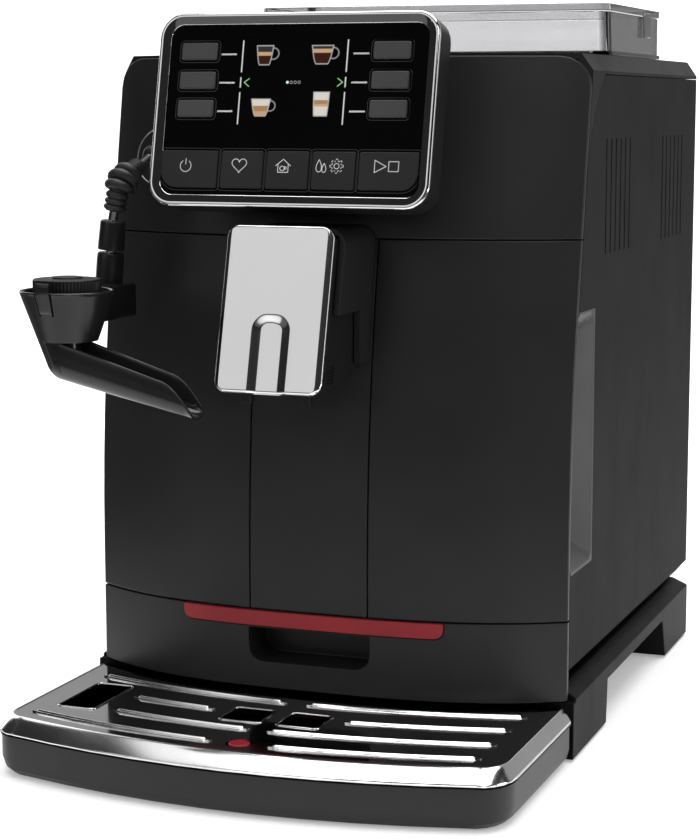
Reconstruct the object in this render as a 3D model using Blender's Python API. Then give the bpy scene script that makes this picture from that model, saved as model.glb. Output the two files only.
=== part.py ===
"""A bean to cup coffee machine with a milk frother, in metres, +Z up, front towards -Y."""
import math

import bmesh
import bpy
from mathutils import Matrix, Vector

# Whole body
BODY_HALF_WIDTH = 0.130
GAP = 0.0003
WALL = 0.003
OVERSHOOT = 0.010
SCENE_REACH = 3 * BODY_HALF_WIDTH
REAR_FACE_Y = 0.2160

# Front face: a shallow barrel in plan that leans back towards the top
FRONT_EDGE_Y = -0.0680
FRONT_SAG = 0.0275
FRONT_POWER = 3
LEAN_START_Z = 0.095
LEAN_END_Z = 0.245
LEAN_RADIUS = 0.833
FRONT_COLUMN_STEP = 0.013
FRONT_ROW_STEP = 0.024

# Heights of the front joints
DRAWER_BOTTOM_Z = 0.0316
DRAWER_TOP_Z = 0.0724
DOOR_BOTTOM_Z = 0.0731
DOOR_TOP_Z = 0.2636
FASCIA_BOTTOM_Z = 0.2642
FASCIA_TOP_Z = 0.3545
FASCIA_CORNER = 0.015
COLUMN_HALF_WIDTH = 0.0320
SEAM = 0.0006

# Plinth and feet
PLINTH_BOTTOM_Z = 0.0015
PLINTH_EDGE_Z = 0.0325
PLINTH_TOP_Z = 0.0378
PLINTH_FLARE = 0.0040
PLINTH_TAPER = 0.0025
PLINTH_FRONT_HALF_WIDTH = BODY_HALF_WIDTH + PLINTH_FLARE
PLINTH_REAR_HALF_WIDTH = PLINTH_FRONT_HALF_WIDTH - PLINTH_TAPER
PLINTH_TOP_INSET = 0.0085
PLINTH_FRONT_Y = -0.0690
PLINTH_REAR_Y = 0.2140
PLINTH_WALL = 0.0065
PLINTH_FLOOR_Z = 0.0285
ARCH_FRONT_Y = 0.0020
ARCH_REAR_Y = 0.1510
ARCH_TOP_FRONT_Y = 0.0045
ARCH_TOP_REAR_Y = 0.1420
ARCH_TOP_Z = 0.0250
FOOT_RADIUS = 0.011
FOOT_HEIGHT = 0.0042
FOOT_INSET = 0.025
FOOT_X = BODY_HALF_WIDTH - FOOT_INSET
FOOT_FRONT_Y = -0.040
FOOT_REAR_Y = 0.183
FOOT_SEGMENTS = 24

# Side panels
SIDE_BOTTOM_Z = 0.0474
SIDE_LIP_Z = 0.0405
SIDE_LIP_INSET = 0.0060
SIDE_TOP_Z = 0.3455
CHEEK_START_Z = 0.2750
CHEEK_TIP_Z = 0.2980
CHEEK_DEPTH = 0.0257
CHEEK_POWER = 3.3
RIB_REACH = 0.0091
RIB_INNER_X = BODY_HALF_WIDTH - RIB_REACH
RIB_HEIGHTS = (0.060, 0.185, 0.330)
RIB_THICKNESS = 0.004
RIB_FRONT_Y = 0.000
RIB_REAR_Y = 0.205
VENT_WIDTH = 0.0022
VENT_BOTTOM_Z = 0.254
VENT_TOP_Z = 0.313
VENT_FRONT_STARTS = (-0.0030, 0.1270)
VENT_PITCH = 0.0102
VENTS_IN_GROUP = 6
GRIP_BOTTOM_Z = 0.097
GRIP_TOP_Z = 0.226
GRIP_REAR_Y = -0.024
GRIP_FRONT_Y = -0.066
GRIP_DEPTH = 0.0115
GRIP_WALL = 0.0025

# Top cover
COVER_BOTTOM_Z = 0.3459
SHOULDER_Z = 0.3475
SHOULDER_INSET = 0.0058
SHOULDER_X = BODY_HALF_WIDTH - SHOULDER_INSET
COVER_TOP_Z = 0.3560
COVER_THICKNESS = 0.003

# Rear panel
REAR_SEAM = 0.0004
REAR_PANEL_HALF_WIDTH = BODY_HALF_WIDTH - WALL - REAR_SEAM
REAR_PANEL_BOTTOM_Z = 0.0405
REAR_VENT_HEIGHTS = (0.240, 0.250, 0.260, 0.270, 0.280)
REAR_VENT_HALF_WIDTH = 0.050
REAR_VENT_THICKNESS = 0.003
INLET_CENTRE = (0.070, 0.105)
INLET_SIZE = (0.030, 0.022)
INLET_DEPTH = 0.022
INLET_FLANGE = 0.004
INLET_PROUD = 0.0018
INLET_PIN = (0.0022, 0.0044)
INLET_PIN_LENGTH = 0.012
INLET_PIN_SPREAD = 0.007
SWITCH_CENTRE = (0.030, 0.105)
SWITCH_SIZE = (0.014, 0.022)
SWITCH_DEPTH = 0.010
SWITCH_TILT = math.radians(10)

# Control panel, placed on a plane that leans back
PANEL_HALF_WIDTH = 0.0737
PANEL_HEIGHT = 0.0965
PANEL_CORNER = 0.0125
PANEL_FOOT = (0.0, -0.1239, 0.2811)
PANEL_TILT = math.radians(12.5)
HOUSING_DEPTH = 0.018
HOUSING_POCKET = 0.014
HOUSING_CHAMFER = 0.0012
BEZEL_WIDTH = 0.0052
BEZEL_DEPTH = 0.0017
BEZEL_BEVEL = 0.0028
FACE_THICKNESS = 0.0030
NECK_HALF_WIDTH = 0.062
NECK_BOTTOM_Z = 0.2880
NECK_TOP_Z = 0.3530
NECK_FRONT_Y = -0.0970
NECK_REACH = 0.0400
SIDE_KEY_SIZE = (0.0193, 0.0086)
SIDE_KEY_X = 0.0507
SIDE_KEY_MIDDLE_X = -0.0012
SIDE_KEY_ROWS = (0.0487, 0.0628, 0.0773)
LOWER_KEY_BOTTOM = 0.0092
LOWER_KEY_TOP = 0.0278
LOWER_KEY_EDGES = (
    (-0.0680, -0.0375),
    (-0.0357, -0.0133),
    (-0.0116, 0.0108),
    (0.0125, 0.0349),
    (0.0367, 0.0672),
)
LOWER_KEY_NAMES = ("power", "favourites", "home", "care", "start")
KEY_CORNER = 0.0010
KEY_END_CORNER = 0.0085
KEY_BACK = -0.0060
KEY_PROUD = 0.0006
DISPLAY_LOW = (-0.0300, 0.0395)
DISPLAY_HIGH = (0.0285, 0.0845)
BOARD_DEPTH = (-0.0132, -0.0116)
BOARD_EDGE = 0.009

# Coffee spout, on a plane that leans back
SPOUT_FOOT = (0.0, -0.1486, 0.1928)
SPOUT_TILT = math.atan2(0.0207, 0.0803)
SPOUT_HALF_WIDTH = 0.0280
SPOUT_HEIGHT = 0.0829
SPOUT_CORNER = 0.0065
SPOUT_PLATE = 0.0034
SPOUT_CHANNEL_HALF_WIDTH = 0.0097
SPOUT_CHANNEL_TOP = 0.0380
SPOUT_CHANNEL_CORNER = 0.0055
SPOUT_CHANNEL_DEPTH = 0.0022
CARRIAGE_HALF_WIDTH = 0.0272
CARRIAGE_FLOOR = 0.0300
CARRIAGE_TOP = 0.0755
GUIDE_HALF_WIDTH = 0.0310
GUIDE_BOTTOM_Z = 0.2036
GUIDE_TOP_Z = 0.2710
GUIDE_ROUND = 0.0090
GUIDE_FRONT = 0.0095
GUIDE_WINDOW_REAR_Y = -0.1015
GUIDE_WINDOW_TOP_Z = 0.2300
SPOUT_REAR_CLEARANCE = 0.0016
NOZZLE_X = 0.0155
NOZZLE_Y = -0.1340
NOZZLE_HALF = 0.0029
NOZZLE_BOTTOM_Z = 0.1860
NOZZLE_BORE = 0.0017
KNURL_GROOVES = 6
KNURL_PITCH = 0.0016
KNURL_WIDTH = 0.0008
KNURL_DEPTH = 0.0007
KNURL_LENGTH = 0.0090

# Drip tray and grille
TRAY_HALF_WIDTH = PLINTH_FRONT_HALF_WIDTH
TRAY_FRONT_Y = -0.2053
TRAY_SAG = 0.0212
TRAY_CORNER = 0.0150
TRAY_REAR_CORNER = 0.0050
TRAY_REAR_Y = -0.0696
TRAY_BOTTOM_Z = 0.0010
TRAY_TOP_Z = 0.0214
TRAY_DRAFTS = ((0.0050, 0.0010), (0.0018, 0.0042), (0.0006, 0.0090))
TRAY_WALL = 0.0035
TRAY_FLOOR = 0.0030
GRILLE_BOTTOM_Z = 0.0217
GRILLE_EDGE_Z = 0.0228
GRILLE_TOP_Z = 0.0292
GRILLE_RIM = 0.0095
GRILLE_SIDE_RIM = 0.0048
GRILLE_DECK = 0.0025
GRILLE_RIB_HEIGHT = 0.0008
GRILLE_RIB_HALF_WIDTH = 0.0019
GRILLE_ROWS = (-0.1115, -0.1355, -0.1605, -0.1840)
MILK_WINDOW_X = (-TRAY_HALF_WIDTH + 0.0215, -TRAY_HALF_WIDTH + 0.0415)
MILK_WINDOW_Y = (-0.1550, -0.1105)
RIB_LEFT_END = -TRAY_HALF_WIDTH + 0.0190
RIB_RIGHT_END = TRAY_HALF_WIDTH - 0.0180
GRILLE_RIBS = (
    ((RIB_LEFT_END, -0.0065), (0.0070, RIB_RIGHT_END)),
    ((MILK_WINDOW_X[1] + 0.0112, -0.0366), (0.0365, RIB_RIGHT_END - 0.0010)),
    ((MILK_WINDOW_X[1] + 0.0119, -0.0060), (0.0064, RIB_RIGHT_END - 0.0006)),
    ((RIB_LEFT_END - 0.0030, -0.0156), (0.0166, RIB_RIGHT_END - 0.0010)),
)
DRAIN_WINDOW_X = (0.0045, 0.0260)
DRAIN_WINDOW_Y = (-0.1490, -0.1270)
WINDOW_CORNER = 0.0025
FLOAT_Y = -0.1830
FLOAT_HOLE_RADIUS = 0.0066
FLOAT_STEM_RADIUS = 0.0052
FLOAT_TOP_Z = 0.0300
FLOAT_DISC_RADIUS = 0.0140
FLOAT_DISC_BOTTOM_Z = 0.0043
FLOAT_DISC_TOP_Z = 0.0120

# Grounds drawer
ACCENT_HALF_WIDTH = 0.0715
ACCENT_BOTTOM_Z = 0.0642
ACCENT_CORNER = 0.0045
ACCENT_PROUD = 0.0010
ACCENT_DEPTH = 0.0012
FINGER_HALF_WIDTH = 0.0333
FINGER_BOTTOM_Z = 0.0452
FINGER_TOP_Z = 0.0630
FINGER_CORNER = 0.0080
FINGER_BACK_Y = -0.0720
FINGER_WALL = 0.0020
TUB_INSET = 0.020
TUB_HALF_WIDTH = BODY_HALF_WIDTH - TUB_INSET
TUB_REAR_Y = 0.075
TUB_BOTTOM_Z = 0.0330
TUB_TOP_Z = 0.0600
TUB_WALL = 0.0025
DREGS_LOW = (FINGER_HALF_WIDTH + FINGER_WALL + 0.0027, -0.050, 0.0358)
DREGS_HIGH = (TUB_HALF_WIDTH - 0.005, 0.068, 0.0690)
DREGS_WALL = 0.0020
DREGS_CORNER = 0.008

# Inner chassis
CHASSIS_INSET = 0.0095
CHASSIS_WALL = 0.0040
CHASSIS_WALL_OUTER_X = BODY_HALF_WIDTH - CHASSIS_INSET
CHASSIS_WALL_INNER_X = CHASSIS_WALL_OUTER_X - CHASSIS_WALL
CHASSIS_WALL_FRONT_Y = -0.012
CHASSIS_REAR_Y = 0.2127
CHASSIS_BASE_Z = 0.0381
CHASSIS_FLOOR_Z = 0.0740
CHASSIS_FLOOR_TOP_Z = 0.0770
DIVIDER_INNER_X = 0.0300
DIVIDER_OUTER_X = 0.0345
DIVIDER_REAR_Y = 0.060
CHASSIS_TOP_Z = 0.3527
BAY_REAR_Y = 0.060
BAY_TOP_Z = 0.262
TANK_BAY_WIDTH = 0.0455
TANK_WALL_X = -CHASSIS_WALL_INNER_X + TANK_BAY_WIDTH
POST_DEPTH = 0.033
CHUTE_LOW = (DIVIDER_OUTER_X + 0.0135, -0.040)
CHUTE_HIGH = (CHASSIS_WALL_INNER_X - 0.0185, 0.040)

# Water tank and its lid
TANK_LOW = (-CHASSIS_WALL_INNER_X + 0.0005, -0.040, 0.0773)
TANK_HIGH = (TANK_WALL_X - 0.0055, 0.150, 0.3525)
TANK_WALL = 0.0025
TANK_CORNER = 0.008
TANK_LID_BOTTOM_Z = 0.3529
TANK_LID_TOP_Z = 0.3560

# Bean hopper and lid
HOPPER_LOW = (TANK_HIGH[0] + 0.0065, 0.0230)
HOPPER_HIGH = (BODY_HALF_WIDTH - 0.0074, 0.1480)
HOPPER_FLANGE_LOW_Z = 0.3564
HOPPER_FLANGE_HIGH_Z = 0.3584
HOPPER_TOP_Z = 0.3790
HOPPER_FLANGE = 0.0012
HOPPER_CORNER = 0.008
HOPPER_FRONT_DRAFT = 0.0030
HOPPER_WALL = 0.0025
HOPPER_DROP = 0.009
HOPPER_FLOOR_Z = 0.3350
THROAT_CENTRE = (0.030, 0.1030)
THROAT_HALF = 0.018
THROAT_Z = 0.3010
LID_LOW = (HOPPER_LOW[0] - 0.0038, 0.0195)
LID_HIGH = (HOPPER_HIGH[0] + 0.0014, 0.1455)
LID_BOTTOM_Z = 0.3794
LID_TOP_Z = 0.3830
LID_LATCH_Y = 0.100
LID_LATCH_SIZE = (0.0014, 0.014, 0.012)

# Grinder, brewing and water parts
GRINDER_RADIUS = 0.036
GRINDER_BOTTOM_Z = 0.240
GRINDER_TOP_Z = 0.3006
GRINDER_BORE = 0.024
GRINDER_BORE_BOTTOM = 0.012
MOTOR_RADIUS = 0.026
MOTOR_BOTTOM_Z = 0.150
SPIDER_ARMS = 3
SPIDER_HEIGHT = 0.006
SPIDER_RADIUS = 0.009
BURR_LOW_RADIUS = 0.020
BURR_HIGH_RADIUS = 0.007
BURR_BOTTOM_Z = 0.2520
BURR_TOP_Z = 0.2780
BURR_FLUTES = 12
KNOB_RADIUS = 0.0100
KNOB_BOTTOM_Z = 0.2800
KNOB_TOP_Z = 0.3320
KNOB_STEM_RADIUS = 0.0060
STAND_RADIUS = 0.020
BREW_LOW = (DIVIDER_OUTER_X + 0.0105, -0.050, 0.0775)
BREW_HIGH = (CHASSIS_WALL_INNER_X - 0.0045, 0.052, 0.2250)
BOILER_CENTRE = ((TANK_WALL_X + WALL + DIVIDER_INNER_X) / 2, 0.020)
BOILER_RADIUS = 0.032
BOILER_LOW_Z = 0.0773
BOILER_HIGH_Z = 0.190
PUMP_RADIUS = 0.020
PUMP_X = (TANK_WALL_X + WALL + 0.008, DIVIDER_INNER_X)
PUMP_CENTRE = (0.165, 0.0975)

# Milk frother
ESCUTCHEON_INSET = 0.0332
ESCUTCHEON_X = -BODY_HALF_WIDTH + ESCUTCHEON_INSET
ESCUTCHEON_Z = 0.3031
ESCUTCHEON_RADIUS = 0.0152
ESCUTCHEON_PROUD = 0.0018
ESCUTCHEON_DEPTH = 0.0120
WAND_BALL_RADIUS = 0.0055
WAND_BALL_PROUD = 0.0035
SOCKET_RADIUS = 0.0059
WAND_FOOT = (ESCUTCHEON_X - 0.0104, -0.1010, 0.2400)
WAND_TILT = math.radians(5.5)
WAND_CORNER = (ESCUTCHEON_X - 0.0032, -0.1010, 0.2920)
WAND_BEND = 0.013
PIPE_RADIUS = 0.0026
PIPE_BORE = 0.0030
PIPE_END = 0.0050
PIPE_KNEE = 0.0330
GRIP_LENGTH = 0.0330
GRIP_END = 0.0368
GRIP_RADIUS = 0.0043
GRIP_RIBS = (
    (0.0125, 0.0069),
    (0.0168, 0.0076),
    (0.0208, 0.0073),
    (0.0249, 0.0051),
    (0.0281, 0.0052),
    (0.0313, 0.0052),
)
GRIP_RIB_HALF = 0.0017
GRIP_FINE_RIB = 0.0004
GRIP_FINE_PITCH = 0.0016
SLEEVE_TOP_RADIUS = 0.0056
SLEEVE_MIDDLE_RADIUS = 0.0069
SLEEVE_LOW_RADIUS = 0.0073
SLEEVE_BOTTOM = 0.0165
SLEEVE_TOP = 0.0318
HOLDER_SLEEVE_TOP = 0.0152
ARM_HALF_WIDTH = 0.0085
ARM_REAR_Y = -0.0910
ARM_BOTTOM_Z = 0.2220
ARM_TOP_Z = 0.2395
FUNNEL_CENTRE = (ESCUTCHEON_X - 0.0080, -0.1500)
FUNNEL_TOP_Z = 0.2400
FUNNEL_TOP_RADIUS = 0.0236
FUNNEL_BOTTOM_Z = 0.1978
FUNNEL_BOTTOM_RADIUS = 0.0098
FUNNEL_WALL = 0.0018
TROUGH_START_X = FUNNEL_CENTRE[0] - 0.0082
TROUGH_END_X = FUNNEL_CENTRE[0] + 0.0698
TROUGH_BEND_X = TROUGH_END_X - 0.0170
TROUGH_STEP = 0.0030
TROUGH_LIP_POWER = 1.6
TROUGH_BOTTOM = (0.1965, 0.1785)
TROUGH_RIM = (0.2165, 0.1975, 0.1815)
TROUGH_FAR_RISE = 0.0016
TROUGH_HALF_WIDTHS = (0.0100, 0.0075)
TROUGH_WALL = 0.0016
BOSS_RADIUS = 0.0110
CAP_RADIUS = 0.0168
CAP_BOTTOM_Z = 0.2370
CAP_TOP_Z = 0.2478
CAP_KNOB_RADIUS = 0.0085
CAP_SCALLOPS = 24
CAP_SCALLOP_DEPTH = 0.00045
TONGUE_HALF_WIDTH = 0.0042
TONGUE_TOP_Z = 0.2445
TONGUE_ANGLE = math.radians(-10)
SLOT_WIDTH = 0.0009
SLOT_DEPTH = 0.0110

# Looks: base colour, roughness, metallic
LOOKS = {
    "charcoal_plastic": ((0.020, 0.020, 0.021), 0.45, 0.0),
    "side_plastic": ((0.045, 0.045, 0.047), 0.42, 0.0),
    "black_plastic": ((0.012, 0.012, 0.012), 0.50, 0.0),
    "gloss_black": ((0.004, 0.004, 0.004), 0.08, 0.0),
    "key_plastic": ((0.050, 0.050, 0.052), 0.45, 0.0),
    "display_glass": ((0.010, 0.011, 0.013), 0.06, 0.0),
    "chrome": ((0.850, 0.850, 0.860), 0.06, 1.0),
    "polished_steel": ((0.620, 0.620, 0.620), 0.10, 1.0),
    "dull_steel": ((0.420, 0.420, 0.420), 0.35, 1.0),
    "red_plastic": ((0.300, 0.010, 0.014), 0.35, 0.0),
    "smoked_plastic": ((0.130, 0.130, 0.135), 0.10, 0.0),
    "clear_plastic": ((0.250, 0.270, 0.290), 0.12, 0.0),
    "rubber": ((0.018, 0.018, 0.018), 0.80, 0.0),
    "ceramic": ((0.750, 0.740, 0.710), 0.40, 0.0),
    "circuit_green": ((0.020, 0.100, 0.045), 0.50, 0.0),
    "copper": ((0.550, 0.250, 0.150), 0.35, 1.0),
}


# The middle of the whole depth, from the tray's front to the inlet's frame, is placed at Y zero
CENTRING = Vector((0, -(TRAY_FRONT_Y + REAR_FACE_Y + GAP + INLET_PROUD) / 2, 0))


def clear_scene():
    for thing in list(bpy.data.objects):
        bpy.data.objects.remove(thing, do_unlink=True)


def look(name):
    """The Principled material of that name, made on first use."""
    if name in bpy.data.materials:
        return bpy.data.materials[name]
    colour, roughness, metallic = LOOKS[name]
    made = bpy.data.materials.new(name)
    made.use_nodes = True
    shader = made.node_tree.nodes["Principled BSDF"]
    shader.inputs["Base Color"].default_value = (*colour, 1.0)
    shader.inputs["Roughness"].default_value = roughness
    shader.inputs["Metallic"].default_value = metallic
    return made


def solid(name, points, faces, look_name=None, origin=(0, 0, 0), place=Matrix.Identity(4), smooth=False):
    """A closed mesh object from points in the place's frame, with its origin at a world point."""
    start = Vector(origin)
    mesh = bpy.data.meshes.new(name)
    mesh.from_pydata([place @ Vector(point) - start for point in points], [], faces)
    shape = bmesh.new()
    shape.from_mesh(mesh)
    bmesh.ops.recalc_face_normals(shape, faces=shape.faces)
    shape.to_mesh(mesh)
    shape.free()
    made = bpy.data.objects.new(name, mesh)
    made.location = start + CENTRING
    bpy.context.scene.collection.objects.link(made)
    if look_name:
        mesh.materials.append(look(look_name))
    if smooth:
        mesh.shade_smooth()
        mesh.set_sharp_from_angle(angle=math.radians(35))
    return made


def loft(name, rings, look_name=None, closed=False, **options):
    """Skin matching rings of points; open ends are capped, closed lofts join last to first."""
    count = len(rings[0])
    points = [point for ring in rings for point in ring]
    faces = []
    spans = len(rings) if closed else len(rings) - 1
    for ring in range(spans):
        near = ring * count
        far = (ring + 1) % len(rings) * count
        for corner in range(count):
            after = (corner + 1) % count
            faces.append((near + corner, near + after, far + after, far + corner))
    if not closed:
        faces.append(tuple(reversed(range(count))))
        faces.append(tuple(range((len(rings) - 1) * count, len(rings) * count)))
    return solid(name, points, faces, look_name, **options)


def prism(name, outline, axis, low, high, look_name=None, **options):
    """An outline in the two other axes, in their X, Y, Z order, drawn out along one axis."""
    def ring(level):
        return [point[:axis] + (level,) + point[axis:] for point in map(tuple, outline)]
    return loft(name, [ring(low), ring(high)], look_name, **options)


def block(name, low, high, look_name=None, **options):
    outline = rectangle(low[:2], high[:2])
    return prism(name, outline, 2, low[2], high[2], look_name, **options)


def turned(name, profile, look_name=None, segments=32, axis=2, **options):
    """A closed solid of revolution from (radius, height) pairs, both ends on the axis or not."""
    rings = []
    for step in range(segments):
        angle = 2 * math.pi * step / segments
        ring = []
        for radius, height in profile:
            across = (radius * math.cos(angle), radius * math.sin(angle))
            ring.append(across[:axis] + (height,) + across[axis:])
        rings.append(ring)
    made = loft(name, rings, look_name, closed=True, **options)
    shape = bmesh.new()
    shape.from_mesh(made.data)
    bmesh.ops.remove_doubles(shape, verts=shape.verts, dist=GAP / 30)
    loose = [edge for edge in shape.edges if not edge.link_faces]
    bmesh.ops.delete(shape, geom=loose, context="EDGES")
    bmesh.ops.recalc_face_normals(shape, faces=shape.faces)
    shape.to_mesh(made.data)
    shape.free()
    made.data.shade_smooth()
    made.data.set_sharp_from_angle(angle=math.radians(35))
    return made


def disc(name, centre, radius, low, high, look_name=None, segments=32, axis=2, **options):
    """A round bar along one axis, centred at the two other coordinates."""
    outline = []
    for step in range(segments):
        angle = 2 * math.pi * step / segments
        outline.append((centre[0] + radius * math.cos(angle), centre[1] + radius * math.sin(angle)))
    return prism(name, outline, axis, low, high, look_name, smooth=True, **options)


def cut(target, tool, operation="DIFFERENCE"):
    """Cut the target by a tool, which stays in the scene as a hidden wire guide."""
    tool.hide_render = True
    tool.display_type = "WIRE"
    change = target.modifiers.new(tool.name, "BOOLEAN")
    change.operation = operation
    change.solver = "EXACT"
    change.object = tool
    return target


def weld(target, tool):
    return cut(target, tool, "UNION")


def rectangle(low, high):
    return [(low[0], low[1]), (high[0], low[1]), (high[0], high[1]), (low[0], high[1])]


def rounded(low, high, radii, steps=4):
    """A rectangle with a radius, or four radii anticlockwise from the low corner."""
    if not isinstance(radii, (tuple, list)):
        radii = (radii,) * 4
    corners = rectangle(low, high)
    outline = []
    for number, (corner, radius) in enumerate(zip(corners, radii)):
        turn = math.pi + number * math.pi / 2
        inward = (1 if number in (0, 3) else -1, 1 if number in (0, 1) else -1)
        centre = (corner[0] + inward[0] * radius, corner[1] + inward[1] * radius)
        for step in range(steps + 1):
            angle = turn + step / steps * math.pi / 2
            outline.append((centre[0] + radius * math.cos(angle), centre[1] + radius * math.sin(angle)))
    return outline


def leaning_plane(foot, tilt):
    """A frame with X to the right, Y up the plane and Z out of it towards the viewer."""
    up = Vector((0, math.sin(tilt), math.cos(tilt)))
    out = Vector((0, -math.cos(tilt), math.sin(tilt)))
    frame = Matrix((Vector((1, 0, 0)), up, out)).transposed().to_4x4()
    frame.translation = Vector(foot)
    return frame


PANEL = leaning_plane(PANEL_FOOT, PANEL_TILT)
SPOUT = leaning_plane(SPOUT_FOOT, SPOUT_TILT)


def edge_depth(z):
    """The Y of the front face where it meets the side, at a height."""
    rise = max(z - LEAN_START_Z, 0)
    curved = min(rise, LEAN_END_Z - LEAN_START_Z)
    slope = (LEAN_END_Z - LEAN_START_Z) / LEAN_RADIUS
    return FRONT_EDGE_Y + curved ** 2 / (2 * LEAN_RADIUS) + slope * (rise - curved)


def front_depth(x, z):
    share = abs(x) / BODY_HALF_WIDTH
    return edge_depth(z) - FRONT_SAG * (1 - share ** FRONT_POWER)


def spaced(low, high, step):
    count = max(1, math.ceil((high - low) / step))
    return [low + (high - low) * place / count for place in range(count + 1)]


def front_slab(name, columns, low_at, high_at, near, far, look_name=None, rows=None, **options):
    """A curved slab between two offsets behind the front face, over columns and heights."""
    tallest = max(high_at(x) - low_at(x) for x in columns)
    rows = rows or max(1, math.ceil(tallest / FRONT_ROW_STEP))
    rings = []
    for x in columns:
        heights = [low_at(x) + (high_at(x) - low_at(x)) * row / rows for row in range(rows + 1)]
        ring = [(x, front_depth(x, z) + near, z) for z in heights]
        ring += [(x, front_depth(x, z) + far, z) for z in reversed(heights)]
        rings.append(ring)
    return loft(name, rings, look_name, smooth=True, **options)


def space_in_front(name, offset):
    """Everything in front of the face moved back by an offset, as a cutting guide."""
    reach = BODY_HALF_WIDTH + OVERSHOOT
    columns = spaced(-reach, reach, FRONT_COLUMN_STEP)
    high = COVER_TOP_Z + 3 * OVERSHOOT
    return front_slab(name, columns, lambda x: -OVERSHOOT, lambda x: high, offset - SCENE_REACH, offset)


def space_behind(name, offset):
    """Everything behind the face moved by an offset, as a cutting guide."""
    reach = BODY_HALF_WIDTH + OVERSHOOT
    columns = spaced(-reach, reach, FRONT_COLUMN_STEP)
    high = COVER_TOP_Z + 3 * OVERSHOOT
    return front_slab(name, columns, lambda x: -OVERSHOOT, lambda x: high, offset, offset + SCENE_REACH)


def front_line(offset, half_width, z):
    """Plan points along the front face from left to right, moved back by an offset."""
    columns = spaced(-half_width, half_width, FRONT_COLUMN_STEP)
    return [(x, front_depth(x, z) + offset) for x in columns]


def side_edge(z):
    """The Y of a side panel's front edge, which draws back under the top cover."""
    share = max(z - CHEEK_START_Z, 0) / (SIDE_TOP_Z - CHEEK_START_Z)
    return edge_depth(z) + WALL + SEAM + CHEEK_DEPTH * share ** CHEEK_POWER


def side_heights():
    heights = spaced(SIDE_BOTTOM_Z, CHEEK_START_Z, FRONT_ROW_STEP)[:-1]
    return heights + spaced(CHEEK_START_Z, SIDE_TOP_Z, FRONT_ROW_STEP / 3)


def make_plinth():
    """The base: it widens towards the tray, and its top edges slope in under the body."""
    front = PLINTH_FRONT_HALF_WIDTH
    rear = PLINTH_REAR_HALF_WIDTH
    slope = PLINTH_TOP_Z - PLINTH_EDGE_Z
    widening = (front - rear) * slope / (PLINTH_REAR_Y - PLINTH_FRONT_Y)
    rings = []
    for near, far, back, z in (
        (front, rear, PLINTH_REAR_Y, PLINTH_BOTTOM_Z),
        (front, rear, PLINTH_REAR_Y, PLINTH_EDGE_Z),
        (front - PLINTH_TOP_INSET, rear + widening - PLINTH_TOP_INSET, PLINTH_REAR_Y - slope, PLINTH_TOP_Z),
    ):
        rings.append([(-near, PLINTH_FRONT_Y, z), (near, PLINTH_FRONT_Y, z), (far, back, z), (-far, back, z)])
    plinth = loft("base_plinth", rings, "black_plastic")
    arch = [
        (ARCH_FRONT_Y, PLINTH_BOTTOM_Z),
        (ARCH_TOP_FRONT_Y, ARCH_TOP_Z),
        (ARCH_TOP_REAR_Y, ARCH_TOP_Z),
        (ARCH_REAR_Y, PLINTH_BOTTOM_Z),
        (ARCH_REAR_Y, -OVERSHOOT),
        (ARCH_FRONT_Y, -OVERSHOOT),
    ]
    cut(plinth, prism("plinth_arch", arch, 0, -SCENE_REACH, SCENE_REACH))
    inner = CHASSIS_WALL_INNER_X - GAP
    low = (-inner, PLINTH_FRONT_Y + PLINTH_WALL, PLINTH_FLOOR_Z)
    high = (inner, PLINTH_REAR_Y - slope - PLINTH_WALL, PLINTH_TOP_Z + OVERSHOOT)
    cut(plinth, block("plinth_well", low, high))
    half = TUB_HALF_WIDTH + WALL
    front = PLINTH_FRONT_Y - OVERSHOOT
    step = FRONT_EDGE_Y + WALL + SEAM
    rear = PLINTH_FRONT_Y + 2 * PLINTH_WALL
    channel = [(-SCENE_REACH, front), (SCENE_REACH, front), (SCENE_REACH, step), (half, step)]
    channel += [(half, rear), (-half, rear), (-half, step), (-SCENE_REACH, step)]
    cut(plinth, prism("drawer_channel", channel, 2, DRAWER_BOTTOM_Z - SEAM, PLINTH_TOP_Z + OVERSHOOT))
    for number, (x, y) in enumerate(foot_places()):
        top = FOOT_HEIGHT + GAP
        pocket = disc("foot_pocket", (x, y), FOOT_RADIUS + GAP, -OVERSHOOT, top, segments=FOOT_SEGMENTS)
        cut(plinth, pocket)
        name = f"rubber_foot_{number + 1}"
        disc(name, (x, y), FOOT_RADIUS, 0, FOOT_HEIGHT, "rubber", segments=FOOT_SEGMENTS)


def foot_places():
    return [(x, y) for y in (FOOT_FRONT_Y, FOOT_REAR_Y) for x in (-FOOT_X, FOOT_X)]


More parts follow.
